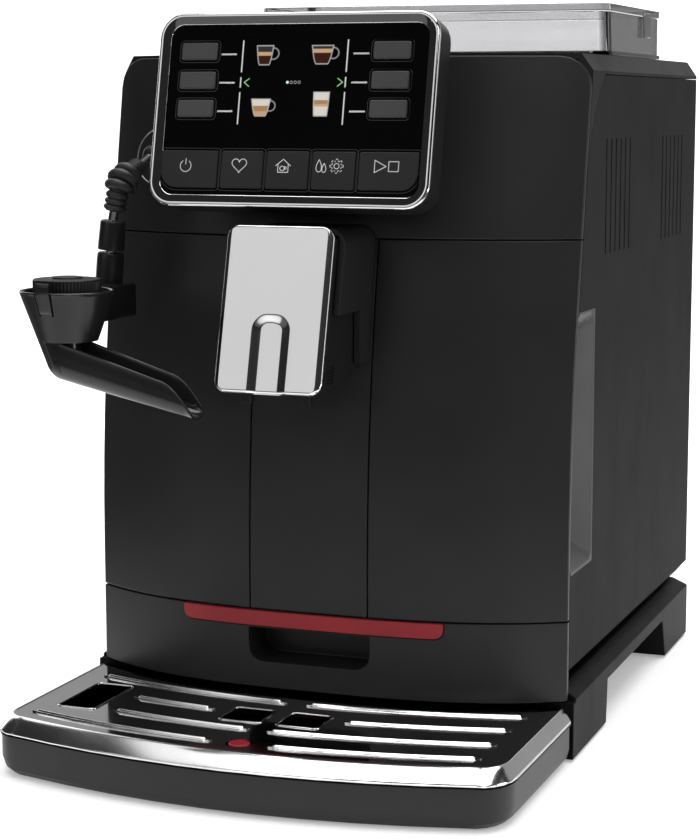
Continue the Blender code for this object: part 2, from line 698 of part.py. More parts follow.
def make_side_panel(side):
    """A flat panel whose lower edge turns in, with ribs inside and slots for cooling air."""
    outline = [(side_edge(z), z) for z in side_heights()]
    outline += [(REAR_FACE_Y, SIDE_TOP_Z), (REAR_FACE_Y, SIDE_BOTTOM_Z)]
    outer = side * BODY_HALF_WIDTH
    inner = side * (BODY_HALF_WIDTH - WALL)
    name = "side_panel_left" if side < 0 else "side_panel_right"
    panel = prism(name, outline, 0, min(outer, inner), max(outer, inner), "side_plastic", smooth=True)
    lip = [
        (outer, SIDE_BOTTOM_Z + GAP),
        (inner, SIDE_BOTTOM_Z + GAP),
        (inner - side * SIDE_LIP_INSET, SIDE_LIP_Z),
        (inner + side * (WALL - SIDE_LIP_INSET), SIDE_LIP_Z),
    ]
    weld(panel, prism("side_lip", lip, 1, side_edge(SIDE_BOTTOM_Z) + GAP, REAR_FACE_Y - GAP))
    for height in RIB_HEIGHTS:
        rib_x = sorted((side * RIB_INNER_X, inner + side * WALL / 2))
        low = (rib_x[0], RIB_FRONT_Y, height)
        weld(panel, block("side_rib", low, (rib_x[1], RIB_REAR_Y, height + RIB_THICKNESS)))
    for start in VENT_FRONT_STARTS:
        for number in range(VENTS_IN_GROUP):
            y = start + number * VENT_PITCH
            across = sorted((side * (RIB_INNER_X + GAP), outer + side * OVERSHOOT))
            low = (across[0], y - VENT_WIDTH / 2, VENT_BOTTOM_Z)
            cut(panel, block("vent", low, (across[1], y + VENT_WIDTH / 2, VENT_TOP_Z)))
    return panel


def add_finger_grip(panel):
    """A scoop behind the door's free edge, so that fingers can pull the door open."""
    outer = BODY_HALF_WIDTH
    inner = outer - GRIP_DEPTH

    def scoop(grow, height_grow, front):
        rings = []
        outer_x = outer - (WALL / 2 if grow else -OVERSHOOT)
        rear_y = GRIP_REAR_Y + grow + (0 if grow else OVERSHOOT)
        for z in (GRIP_BOTTOM_Z - height_grow, GRIP_TOP_Z + height_grow):
            front_y = side_edge(z) + GAP if front is None else front
            rings.append([
                (inner - grow, front_y, z),
                (outer_x, front_y, z),
                (outer_x, rear_y, z),
                (inner - grow, GRIP_REAR_Y - GRIP_DEPTH + grow, z),
            ])
        return rings
    shell = loft("grip_shell", scoop(GRIP_WALL, GRIP_WALL, None))
    cut(shell, space_in_front("grip_front_space", WALL + SEAM))
    weld(panel, shell)
    cut(panel, loft("grip_scoop", scoop(0, 0, GRIP_FRONT_Y - OVERSHOOT)))


def make_top_cover():
    """The lid of the body: a flat deck with sloped shoulders and two cheeks at the front."""
    outer = [
        (-BODY_HALF_WIDTH, COVER_BOTTOM_Z),
        (BODY_HALF_WIDTH, COVER_BOTTOM_Z),
        (BODY_HALF_WIDTH, SHOULDER_Z),
        (SHOULDER_X, COVER_TOP_Z),
        (-SHOULDER_X, COVER_TOP_Z),
        (-BODY_HALF_WIDTH, SHOULDER_Z),
    ]
    front = FRONT_EDGE_Y - FRONT_SAG
    cover = prism("top_cover", outer, 1, front, REAR_FACE_Y, "charcoal_plastic")
    inner_x = BODY_HALF_WIDTH - COVER_THICKNESS
    inner_z = COVER_TOP_Z - COVER_THICKNESS
    hollow = [
        (-inner_x, COVER_BOTTOM_Z - OVERSHOOT),
        (inner_x, COVER_BOTTOM_Z - OVERSHOOT),
        (inner_x, SHOULDER_Z - GAP),
        (SHOULDER_X - COVER_THICKNESS / 2, inner_z),
        (-SHOULDER_X + COVER_THICKNESS / 2, inner_z),
        (-inner_x, SHOULDER_Z - GAP),
    ]
    cut(cover, prism("cover_hollow", hollow, 1, front - OVERSHOOT, REAR_FACE_Y - WALL))
    for side in (-1, 1):
        line = [(edge_depth(CHEEK_TIP_Z), CHEEK_TIP_Z), (edge_depth(SIDE_TOP_Z), COVER_BOTTOM_Z + GAP)]
        line += [(side_edge(SIDE_TOP_Z) - SEAM, COVER_BOTTOM_Z + GAP)]
        line += [(side_edge(z) - SEAM, z) for z in reversed(side_heights()) if z > CHEEK_TIP_Z]
        cheek_x = sorted((side * BODY_HALF_WIDTH, side * (BODY_HALF_WIDTH - WALL)))
        weld(cover, prism("cheek", line, 0, cheek_x[0], cheek_x[1]))
    cut(cover, space_in_front("cover_front_space", WALL + GAP))
    drop = HOPPER_DROP - HOPPER_FLANGE
    low = (HOPPER_LOW[0] + drop, HOPPER_LOW[1] + drop)
    high = (HOPPER_HIGH[0] - drop, HOPPER_HIGH[1] - drop)
    above = COVER_TOP_Z + OVERSHOOT
    cut(cover, prism("hopper_hole", rounded(low, high, WALL), 2, inner_z - OVERSHOOT, above))
    low = (TANK_LOW[0] - SEAM, TANK_LOW[1] - SEAM)
    high = (TANK_HIGH[0] + SEAM, TANK_HIGH[1] + SEAM)
    cut(cover, prism("tank_hole", rounded(low, high, TANK_CORNER), 2, inner_z - OVERSHOOT, above))


def make_rear_panel():
    half = REAR_PANEL_HALF_WIDTH
    foot = half - WALL - SIDE_LIP_INSET
    top = COVER_BOTTOM_Z - SEAM
    outline = [(-foot, REAR_PANEL_BOTTOM_Z), (foot, REAR_PANEL_BOTTOM_Z), (half, SIDE_BOTTOM_Z + SEAM)]
    outline += [(half, top), (-half, top), (-half, SIDE_BOTTOM_Z + SEAM)]
    panel = prism("rear_panel", outline, 1, REAR_FACE_Y - WALL, REAR_FACE_Y, "charcoal_plastic")
    front = REAR_FACE_Y - WALL - OVERSHOOT
    back = REAR_FACE_Y + OVERSHOOT
    for height in REAR_VENT_HEIGHTS:
        low = (-REAR_VENT_HALF_WIDTH, front, height)
        cut(panel, block("rear_vent", low, (REAR_VENT_HALF_WIDTH, back, height + REAR_VENT_THICKNESS)))
    for centre, size in ((INLET_CENTRE, INLET_SIZE), (SWITCH_CENTRE, SWITCH_SIZE)):
        low = (centre[0] - size[0] / 2 - GAP, front, centre[1] - size[1] / 2 - GAP)
        high = (centre[0] + size[0] / 2 + GAP, back, centre[1] + size[1] / 2 + GAP)
        cut(panel, block("rear_opening", low, high))


def make_inlet():
    """The mains inlet: a framed socket with three flat pins."""
    half = (INLET_SIZE[0] / 2, INLET_SIZE[1] / 2)
    x, z = INLET_CENTRE
    face = REAR_FACE_Y + GAP
    depth = face - INLET_DEPTH
    low = (x - half[0], depth, z - half[1])
    inlet = block("power_inlet", low, (x + half[0], face + GAP, z + half[1]), "black_plastic")
    low = (x - half[0] - INLET_FLANGE, face, z - half[1] - INLET_FLANGE)
    high = (x + half[0] + INLET_FLANGE, face + INLET_PROUD, z + half[1] + INLET_FLANGE)
    weld(inlet, block("inlet_flange", low, high))
    low = (x - half[0] + WALL, depth + WALL, z - half[1] + WALL)
    cut(inlet, block("inlet_socket", low, (x + half[0] - WALL, face + OVERSHOOT, z + half[1] - WALL)))
    for number in (-1, 0, 1):
        centre_x = x + number * INLET_PIN_SPREAD
        centre_z = z + (0 if number else WALL)
        low = (centre_x - INLET_PIN[0] / 2, depth + WALL / 2, centre_z - INLET_PIN[1] / 2)
        high = (centre_x + INLET_PIN[0] / 2, depth + WALL + INLET_PIN_LENGTH, centre_z + INLET_PIN[1] / 2)
        weld(inlet, block("inlet_pin", low, high))


def make_switch():
    """The mains rocker, which tilts about a line across its middle."""
    half_x = SWITCH_SIZE[0] / 2 - GAP
    half_z = SWITCH_SIZE[1] / 2 - GAP
    x, z = SWITCH_CENTRE
    rise = half_z * math.tan(SWITCH_TILT)
    face = REAR_FACE_Y
    clear = half_z * math.cos(SWITCH_TILT)
    outline = [
        (face - SWITCH_DEPTH, z - WALL),
        (face - SWITCH_DEPTH, z + WALL),
        (face - WALL, z + clear),
        (face, z + clear - GAP),
        (face - rise / 4, z),
        (face + rise, z - clear + 2 * GAP),
        (face - WALL, z - clear),
    ]
    prism("power_switch", outline, 0, x - half_x, x + half_x, "black_plastic", origin=(x, face - WALL, z))


def make_fronts():
    """The fixed front covers, the fascia and the hinged service door."""
    half = BODY_HALF_WIDTH
    arc_start = half - FASCIA_CORNER
    corner_steps = [arc_start + FASCIA_CORNER * math.sin(step * math.pi / 10) for step in range(1, 6)]
    middle = spaced(-arc_start, arc_start, FRONT_COLUMN_STEP)
    columns = [-x for x in reversed(corner_steps)] + middle + corner_steps

    def fascia_top(x):
        past = max(abs(x) - arc_start, 0)
        return FASCIA_TOP_Z - FASCIA_CORNER + math.sqrt(max(FASCIA_CORNER ** 2 - past ** 2, 0))
    front_slab("front_fascia", columns, lambda x: FASCIA_BOTTOM_Z, fascia_top, 0, WALL, "charcoal_plastic")
    edge = COLUMN_HALF_WIDTH + SEAM
    spans = {
        "front_left_cover": (-half, -edge),
        "front_centre_column": (-COLUMN_HALF_WIDTH, COLUMN_HALF_WIDTH),
        "service_door": (edge, half),
    }
    hinge = (COLUMN_HALF_WIDTH + SEAM / 2, FRONT_EDGE_Y - FRONT_SAG, DOOR_BOTTOM_Z)
    for name, (low, high) in spans.items():
        origin = hinge if name == "service_door" else (0, 0, 0)
        columns = spaced(low, high, FRONT_COLUMN_STEP * 4 / 5)
        front_slab(name, columns, lambda x: DOOR_BOTTOM_Z, lambda x: DOOR_TOP_Z, 0, WALL, "charcoal_plastic",
                   origin=origin)


def make_drawer():
    """The grounds drawer: a curved front with a finger scoop and a tub behind it."""
    half = BODY_HALF_WIDTH
    columns = spaced(-half, half, FRONT_COLUMN_STEP)
    origin = (0, FRONT_EDGE_Y - FRONT_SAG, DRAWER_BOTTOM_Z)
    drawer = front_slab("dreg_drawer", columns, lambda x: DRAWER_BOTTOM_Z, lambda x: DRAWER_TOP_Z, 0, WALL,
                        "charcoal_plastic", origin=origin)
    z = DRAWER_BOTTOM_Z
    outer = front_line(WALL / 2, TUB_HALF_WIDTH, z)
    outer += [(TUB_HALF_WIDTH, TUB_REAR_Y), (-TUB_HALF_WIDTH, TUB_REAR_Y)]
    weld(drawer, prism("tub_outer", outer, 2, TUB_BOTTOM_Z, TUB_TOP_Z))
    inner_half = TUB_HALF_WIDTH - TUB_WALL
    inner_rear = TUB_REAR_Y - TUB_WALL
    inner = front_line(WALL + TUB_WALL, inner_half, z) + [(inner_half, inner_rear), (-inner_half, inner_rear)]
    cut(drawer, prism("tub_inner", inner, 2, TUB_BOTTOM_Z + TUB_WALL, TUB_TOP_Z + OVERSHOOT))
    low = (-FINGER_HALF_WIDTH - FINGER_WALL, FRONT_EDGE_Y - FRONT_SAG + WALL, FINGER_BOTTOM_Z - FINGER_WALL)
    high = (FINGER_HALF_WIDTH + FINGER_WALL, FINGER_BACK_Y + FINGER_WALL, FINGER_TOP_Z + FINGER_WALL)
    scoop_body = block("scoop_body", low, high)
    cut(scoop_body, space_in_front("scoop_front_space", WALL / 2))
    weld(drawer, scoop_body)
    outline = rounded((-FINGER_HALF_WIDTH, FINGER_BOTTOM_Z), (FINGER_HALF_WIDTH, FINGER_TOP_Z),
                      (FINGER_CORNER, FINGER_CORNER, WALL / 2, WALL / 2))
    cut(drawer, prism("finger_scoop", outline, 1, TRAY_FRONT_Y, FINGER_BACK_Y))
    cut(drawer, accent_slab("accent_groove", None, SEAM / 2, ACCENT_DEPTH + GAP, DRAWER_TOP_Z + OVERSHOOT))
    accent_slab("drawer_accent", "red_plastic", 0, ACCENT_DEPTH, DRAWER_TOP_Z - GAP, origin=origin)


def accent_slab(name, look_name, grow, depth, top, **options):
    """The red strip along the drawer's upper edge, with rounded lower corners."""
    half = ACCENT_HALF_WIDTH + grow
    radius = ACCENT_CORNER
    corner = [half - radius + radius * math.sin(step * math.pi / 8) for step in range(1, 5)]
    middle = spaced(-half + radius, half - radius, FRONT_COLUMN_STEP)
    columns = [-x for x in reversed(corner)] + middle + corner

    def bottom(x):
        past = max(abs(x) - half + radius, 0)
        return ACCENT_BOTTOM_Z - grow + radius - math.sqrt(max(radius ** 2 - past ** 2, 0))
    near = -ACCENT_PROUD
    return front_slab(name, columns, bottom, lambda x: top, near, depth, look_name, rows=1, **options)


def make_dregs_box():
    origin = (0, FRONT_EDGE_Y - FRONT_SAG, DRAWER_BOTTOM_Z)
    outer = rounded(DREGS_LOW[:2], DREGS_HIGH[:2], DREGS_CORNER)
    bin_body = prism("dregs_box", outer, 2, DREGS_LOW[2], DREGS_HIGH[2], "black_plastic", origin=origin)
    low = (DREGS_LOW[0] + DREGS_WALL, DREGS_LOW[1] + DREGS_WALL)
    high = (DREGS_HIGH[0] - DREGS_WALL, DREGS_HIGH[1] - DREGS_WALL)
    inner = rounded(low, high, DREGS_CORNER - DREGS_WALL)
    cut(bin_body, prism("dregs_space", inner, 2, DREGS_LOW[2] + DREGS_WALL, DREGS_HIGH[2] + OVERSHOOT))


def tray_bow(x):
    """How far the tray's front edge draws back from its middle."""
    return TRAY_SAG * (x / TRAY_HALF_WIDTH) ** 2


def tray_outline(inset, side_inset, corner):
    """The tray in plan, anticlockwise from the rear left corner, with a bowed front."""
    half = TRAY_HALF_WIDTH - side_inset
    turn_x = half - corner
    rear = TRAY_REAR_Y - min(inset, GAP)
    low_y = TRAY_FRONT_Y + inset + tray_bow(turn_x)
    corner_y = TRAY_FRONT_Y + inset + tray_bow(half) + corner
    front = [(x, TRAY_FRONT_Y + inset + tray_bow(x)) for x in spaced(-turn_x, turn_x, 2 * FRONT_COLUMN_STEP)]
    right = []
    for step in range(1, 6):
        angle = step * math.pi / 10
        right.append((turn_x + corner * math.sin(angle), low_y + (corner_y - low_y) * (1 - math.cos(angle))))
    small = TRAY_REAR_CORNER
    for step in range(4):
        angle = step * math.pi / 6
        right.append((half - small + small * math.cos(angle), rear - small + small * math.sin(angle)))
    left = [(-x, y) for x, y in reversed(right)]
    return left + front + right


def make_tray():
    """The drip tray: a basin with rounded lower edges, which the grille closes."""
    origin = (0, TRAY_FRONT_Y, TRAY_BOTTOM_Z)
    rings = []
    for inset, z in TRAY_DRAFTS:
        rings.append([(x, y, z) for x, y in tray_outline(inset, inset, TRAY_CORNER)])
    rings.append([(x, y, TRAY_TOP_Z) for x, y in tray_outline(SEAM, SEAM, TRAY_CORNER)])
    tray = loft("drip_tray", rings, "charcoal_plastic", origin=origin, smooth=True)
    wall = TRAY_WALL + SEAM
    floor = TRAY_BOTTOM_Z + TRAY_FLOOR
    levels = ((2 * TRAY_WALL, floor), (wall, floor + TRAY_WALL), (wall, TRAY_TOP_Z + OVERSHOOT))
    rings = []
    for inset, z in levels:
        corner = TRAY_CORNER - inset
        rings.append([(x, min(y, TRAY_REAR_Y - inset), z) for x, y in tray_outline(inset, inset, corner)])
    cut(tray, loft("tray_basin", rings))


def make_grille():
    """The polished grille: a sloped rim, a flat deck with raised ribs, and its openings."""
    origin = (0, TRAY_FRONT_Y, TRAY_BOTTOM_Z)
    outer = tray_outline(0, 0, TRAY_CORNER)
    deck = tray_outline(GRILLE_RIM, GRILLE_SIDE_RIM, TRAY_CORNER - GRILLE_SIDE_RIM)
    deck = [(x, min(y, TRAY_REAR_Y)) for x, y in deck]
    rings = [
        [(x, y, GRILLE_BOTTOM_Z) for x, y in outer],
        [(x, y, GRILLE_EDGE_Z) for x, y in outer],
        [(x, y, GRILLE_TOP_Z) for x, y in deck],
    ]
    grille = loft("drip_grille", rings, "polished_steel", origin=origin)
    rim = GRILLE_RIM + GRILLE_DECK
    side_rim = GRILLE_SIDE_RIM + GRILLE_DECK
    under = tray_outline(rim, side_rim, TRAY_CORNER - GRILLE_SIDE_RIM)
    under = [(x, min(y, TRAY_REAR_Y - side_rim)) for x, y in under]
    rings = [
        [(x, y, GRILLE_BOTTOM_Z - OVERSHOOT) for x, y in under],
        [(x, y, GRILLE_TOP_Z - GRILLE_DECK) for x, y in under],
    ]
    cut(grille, loft("grille_underside", rings))
    for row_y, spans in zip(GRILLE_ROWS, GRILLE_RIBS):
        for low, high in spans:
            weld(grille, grille_rib(row_y, low, high))
    below = GRILLE_BOTTOM_Z - OVERSHOOT
    above = GRILLE_TOP_Z + OVERSHOOT
    windows = [(MILK_WINDOW_X, MILK_WINDOW_Y)]
    windows.append((DRAIN_WINDOW_X, DRAIN_WINDOW_Y))
    windows.append(((-DRAIN_WINDOW_X[1], -DRAIN_WINDOW_X[0]), DRAIN_WINDOW_Y))
    for across, along in windows:
        outline = rounded((across[0], along[0]), (across[1], along[1]), WINDOW_CORNER, steps=2)
        cut(grille, prism("grille_window", outline, 2, below, above))
    cut(grille, disc("float_hole", (0, FLOAT_Y), FLOAT_HOLE_RADIUS, below, above, segments=24))


def grille_rib(row_y, low, high):
    """A bowed rib with rounded ends, sunk into the deck so that it joins it."""
    columns = spaced(low, high, 2 * FRONT_COLUMN_STEP)
    half = GRILLE_RIB_HALF_WIDTH

    def bow(x):
        return row_y + tray_bow(x)
    ends = (math.pi / 2, math.pi * 3 / 2)
    outline = [(x, bow(x) - half) for x in columns]
    for step in range(1, 4):
        angle = -ends[0] + step * math.pi / 4
        outline.append((high + half * math.cos(angle), bow(high) + half * math.sin(angle)))
    outline += [(x, bow(x) + half) for x in reversed(columns)]
    for step in range(1, 4):
        angle = ends[0] + step * math.pi / 4
        outline.append((low + half * math.cos(angle), bow(low) + half * math.sin(angle)))
    return prism("grille_rib", outline, 2, GRILLE_TOP_Z - GRILLE_RIB_HEIGHT, GRILLE_TOP_Z + GRILLE_RIB_HEIGHT)


def make_float():
    """The red float that rises through the grille when the tray is full."""
    profile = [
        (0, FLOAT_DISC_BOTTOM_Z),
        (FLOAT_DISC_RADIUS, FLOAT_DISC_BOTTOM_Z),
        (FLOAT_DISC_RADIUS, FLOAT_DISC_TOP_Z),
        (FLOAT_STEM_RADIUS, FLOAT_DISC_TOP_Z),
        (FLOAT_STEM_RADIUS, FLOAT_TOP_Z - FLOAT_STEM_RADIUS / 8),
        (FLOAT_STEM_RADIUS * 2 / 3, FLOAT_TOP_Z),
        (0, FLOAT_TOP_Z),
    ]
    turned("drip_float", profile, "red_plastic", segments=24, place=Matrix.Translation((0, FLOAT_Y, 0)),
           origin=(0, FLOAT_Y, FLOAT_DISC_BOTTOM_Z))


def panel_outline(inset):
    low = (-PANEL_HALF_WIDTH + inset, inset)
    high = (PANEL_HALF_WIDTH - inset, PANEL_HEIGHT - inset)
    return rounded(low, high, max(PANEL_CORNER - inset, WALL), steps=6)


def make_panel_housing():
    """The control panel's case, with a neck that carries it on the fascia."""
    depth = -HOUSING_DEPTH
    front = -BEZEL_DEPTH - GAP
    rings = []
    for inset, level in ((HOUSING_CHAMFER, depth), (0, depth + HOUSING_CHAMFER), (0, front)):
        rings.append([(x, y, level) for x, y in panel_outline(inset)])
    case = loft("control_panel_housing", rings, "black_plastic", place=PANEL, smooth=True)
    neck_outline = rounded((-NECK_HALF_WIDTH, NECK_BOTTOM_Z), (NECK_HALF_WIDTH, NECK_TOP_Z), PANEL_CORNER)
    neck = prism("panel_neck", neck_outline, 1, NECK_FRONT_Y, FRONT_EDGE_Y + NECK_REACH)
    cut(neck, space_behind("neck_back_space", -GAP))
    weld(case, neck)
    inner = panel_outline(BEZEL_WIDTH + GAP)
    pocket = prism("panel_pocket", inner, 2, -HOUSING_POCKET, OVERSHOOT, place=PANEL)
    cut(case, pocket)


def make_panel_bezel():
    """The chrome frame, flat outside and bevelled down to the face inside."""
    outline = panel_outline(0)
    middle = panel_outline(BEZEL_BEVEL)
    inner = panel_outline(BEZEL_WIDTH)
    back = -BEZEL_DEPTH
    rings = [
        [(x, y, back) for x, y in outline],
        [(x, y, 0) for x, y in outline],
        [(x, y, 0) for x, y in middle],
        [(x, y, back + GAP) for x, y in inner],
        [(x, y, back) for x, y in inner],
    ]
    loft("control_panel_bezel", rings, "chrome", closed=True, place=PANEL, smooth=True)


def key_spans():
    """Each key's name, low corner, high corner and corner radii on the panel's plane."""
    spans = []
    for side, word in ((-1, "left"), (1, "right")):
        for number, row in enumerate(reversed(SIDE_KEY_ROWS)):
            x = SIDE_KEY_MIDDLE_X + side * SIDE_KEY_X
            low = (x - SIDE_KEY_SIZE[0] / 2, row - SIDE_KEY_SIZE[1] / 2)
            high = (x + SIDE_KEY_SIZE[0] / 2, row + SIDE_KEY_SIZE[1] / 2)
            spans.append((f"key_{word}_{number + 1}", low, high, (KEY_CORNER,) * 4))
    for number, (word, edges) in enumerate(zip(LOWER_KEY_NAMES, LOWER_KEY_EDGES)):
        radii = [KEY_CORNER] * 4
        if number == 0:
            radii[0] = KEY_END_CORNER
        if number == len(LOWER_KEY_NAMES) - 1:
            radii[1] = KEY_END_CORNER
        spans.append((f"key_{word}", (edges[0], LOWER_KEY_BOTTOM), (edges[1], LOWER_KEY_TOP), tuple(radii)))
    return spans


def make_panel_face():
    """The glossy face with an opening for each key and for the display, and the keys."""
    top = -BEZEL_DEPTH - GAP
    face = prism("control_panel_face", panel_outline(BEZEL_WIDTH + 2 * GAP), 2, top - FACE_THICKNESS, top,
                 "gloss_black", place=PANEL)
    below = top - FACE_THICKNESS - OVERSHOOT
    window = rounded(DISPLAY_LOW, DISPLAY_HIGH, KEY_CORNER, steps=2)
    cut(face, prism("display_opening", window, 2, below, OVERSHOOT, place=PANEL))
    for name, low, high, radii in key_spans():
        grown_low = (low[0] - GAP, low[1] - GAP)
        grown_high = (high[0] + GAP, high[1] + GAP)
        outline = rounded(grown_low, grown_high, [radius + GAP for radius in radii], steps=3)
        cut(face, prism("key_opening", outline, 2, below, OVERSHOOT, place=PANEL))
        make_key(name, low, high, radii)


def make_key(name, low, high, radii):
    """A key cap with a chamfered edge and a stem, origin at the middle of its face."""
    crown = -BEZEL_DEPTH - GAP + KEY_PROUD
    chamfer = KEY_PROUD / 2
    body = rounded(low, high, radii, steps=3)
    crown_low = (low[0] + chamfer, low[1] + chamfer)
    crown_high = (high[0] - chamfer, high[1] - chamfer)
    crown_line = rounded(crown_low, crown_high, [radius - chamfer for radius in radii], steps=3)
    rings = [
        [(x, y, KEY_BACK) for x, y in body],
        [(x, y, crown - chamfer) for x, y in body],
        [(x, y, crown) for x, y in crown_line],
    ]
    middle = ((low[0] + high[0]) / 2, (low[1] + high[1]) / 2, crown)
    loft(name, rings, "key_plastic", place=PANEL, origin=PANEL @ Vector(middle))


def make_display():
    """The display: a glass window whose module lies under the face, on the key board."""
    top = -BEZEL_DEPTH - GAP
    low = (DISPLAY_LOW[0] + GAP, DISPLAY_LOW[1] + GAP)
    high = (DISPLAY_HIGH[0] - GAP, DISPLAY_HIGH[1] - GAP)
    window = rounded(low, high, KEY_CORNER - GAP, steps=2)
    floor = BOARD_DEPTH[1] + GAP
    prism("display_module", window, 2, floor, top - GAP, "display_glass", place=PANEL)
    outline = rounded((-PANEL_HALF_WIDTH + BOARD_EDGE, BOARD_EDGE),
                      (PANEL_HALF_WIDTH - BOARD_EDGE, PANEL_HEIGHT - BOARD_EDGE), WALL)
    prism("key_board", outline, 2, BOARD_DEPTH[0], BOARD_DEPTH[1], "circuit_green", place=PANEL)


def make_spout_guide():
    """The fixed shroud that the spout slides in, open in front and below."""
    front_top = SPOUT_FOOT[1] + (GUIDE_TOP_Z - SPOUT_FOOT[2]) * math.tan(SPOUT_TILT) + GUIDE_FRONT
    front_bottom = SPOUT_FOOT[1] + (GUIDE_BOTTOM_Z - SPOUT_FOOT[2]) * math.tan(SPOUT_TILT) + GUIDE_FRONT
    back_y = FRONT_EDGE_Y + OVERSHOOT
    outline = rounded((-GUIDE_HALF_WIDTH, GUIDE_BOTTOM_Z), (GUIDE_HALF_WIDTH, GUIDE_TOP_Z),
                      (GAP, GAP, GUIDE_ROUND, GUIDE_ROUND))
    guide = prism("spout_guide", outline, 1, front_bottom, back_y, "charcoal_plastic", smooth=True)
    slope = math.tan(SPOUT_TILT)
    low_z = GUIDE_BOTTOM_Z - OVERSHOOT
    high_z = GUIDE_TOP_Z + OVERSHOOT
    wedge = [
        (front_bottom - 3 * OVERSHOOT, low_z),
        (front_bottom - OVERSHOOT * slope, low_z),
        (front_top + OVERSHOOT * slope, high_z),
        (front_bottom - 3 * OVERSHOOT, high_z),
    ]
    cut(guide, prism("guide_front_slope", wedge, 0, -SCENE_REACH, SCENE_REACH))
    cut(guide, space_behind("guide_back_space", -GAP))
    inner = CARRIAGE_HALF_WIDTH + 2 * GAP
    room = rounded((-inner, GUIDE_BOTTOM_Z - OVERSHOOT), (inner, GUIDE_TOP_Z - WALL), (GAP, GAP, WALL, WALL))
    cut(guide, prism("guide_room", room, 1, TRAY_FRONT_Y, back_y + OVERSHOOT))
    low = (-SCENE_REACH, TRAY_FRONT_Y, GUIDE_BOTTOM_Z - OVERSHOOT)
    cut(guide, block("guide_window", low, (SCENE_REACH, GUIDE_WINDOW_REAR_Y, GUIDE_WINDOW_TOP_Z)))


def make_spout():
    """The sliding spout: a black carriage, a chrome cover with a channel, and two nozzles."""
    origin = Vector(SPOUT_FOOT)
    slope = math.tan(SPOUT_TILT)
    back = SPOUT_PLATE + GAP
    low_z = SPOUT_FOOT[2] + SPOUT_PLATE / 3
    high_z = SPOUT_FOOT[2] + CARRIAGE_TOP * math.cos(SPOUT_TILT)

    def plate_y(z):
        return SPOUT_FOOT[1] + (z - SPOUT_FOOT[2]) * slope + back / math.cos(SPOUT_TILT)
    rear_low = front_depth(0, GUIDE_BOTTOM_Z - OVERSHOOT) - SPOUT_REAR_CLEARANCE
    rear_high = front_depth(0, high_z) - SPOUT_REAR_CLEARANCE
    profile = [
        (plate_y(low_z), low_z),
        (plate_y(low_z) + CARRIAGE_FLOOR, low_z),
        (rear_low, GUIDE_BOTTOM_Z - WALL / 2),
        (rear_high, high_z - 2 * WALL),
        (rear_high - 2 * WALL, high_z),
        (plate_y(high_z), high_z),
    ]
    carriage = prism("spout_carriage", profile, 0, -CARRIAGE_HALF_WIDTH, CARRIAGE_HALF_WIDTH, "black_plastic",
                     origin=origin)
    for side in (-1, 1):
        for number in range(KNURL_GROOVES):
            z = low_z + WALL + number * KNURL_PITCH
            y = plate_y(z) + 2 * WALL
            foot = side * (CARRIAGE_HALF_WIDTH - KNURL_DEPTH)
            across = sorted((foot, foot + side * OVERSHOOT))
            cut(carriage, block("knurl", (across[0], y, z), (across[1], y + KNURL_LENGTH, z + KNURL_WIDTH)))
        half = NOZZLE_HALF + GAP
        low = (side * NOZZLE_X - half, NOZZLE_Y - half)
        nozzle_hole = rounded(low, (side * NOZZLE_X + half, NOZZLE_Y + half), WALL / 3, steps=2)
        cut(carriage, prism("nozzle_hole", nozzle_hole, 2, low_z - OVERSHOOT, low_z + 2 * WALL))
        make_nozzle(side, low_z + 2 * WALL - GAP, origin)
    low = (-SPOUT_HALF_WIDTH, 0)
    high = (SPOUT_HALF_WIDTH, SPOUT_HEIGHT)
    chamfer = SPOUT_PLATE / 4
    rings = []
    for inset, level in ((0, -SPOUT_PLATE), (0, -chamfer), (chamfer, 0)):
        corners = ((low[0] + inset, low[1] + inset), (high[0] - inset, high[1] - inset))
        line = rounded(*corners, SPOUT_CORNER - inset)
        rings.append([(x, y, level) for x, y in line])
    cover = loft("spout_cover", rings, "chrome", place=SPOUT, origin=origin, smooth=True)
    width = SPOUT_CHANNEL_HALF_WIDTH
    turn = SPOUT_CHANNEL_CORNER
    channel = rounded((-width, -OVERSHOOT), (width, SPOUT_CHANNEL_TOP), (GAP, GAP, turn, turn))
    cut(cover, prism("spout_channel", channel, 2, -SPOUT_CHANNEL_DEPTH, OVERSHOOT, place=SPOUT))


def make_nozzle(side, top, origin):
    low = (side * NOZZLE_X - NOZZLE_HALF, NOZZLE_Y - NOZZLE_HALF)
    high = (side * NOZZLE_X + NOZZLE_HALF, NOZZLE_Y + NOZZLE_HALF)
    name = "spout_nozzle_left" if side < 0 else "spout_nozzle_right"
    outline = rounded(low, high, WALL / 3, steps=2)
    nozzle = prism(name, outline, 2, NOZZLE_BOTTOM_Z, top, "black_plastic", origin=origin)
    centre = (side * NOZZLE_X, NOZZLE_Y)
    below = NOZZLE_BOTTOM_Z - OVERSHOOT
    cut(nozzle, disc("nozzle_bore", centre, NOZZLE_BORE, below, top + OVERSHOOT, segments=12))


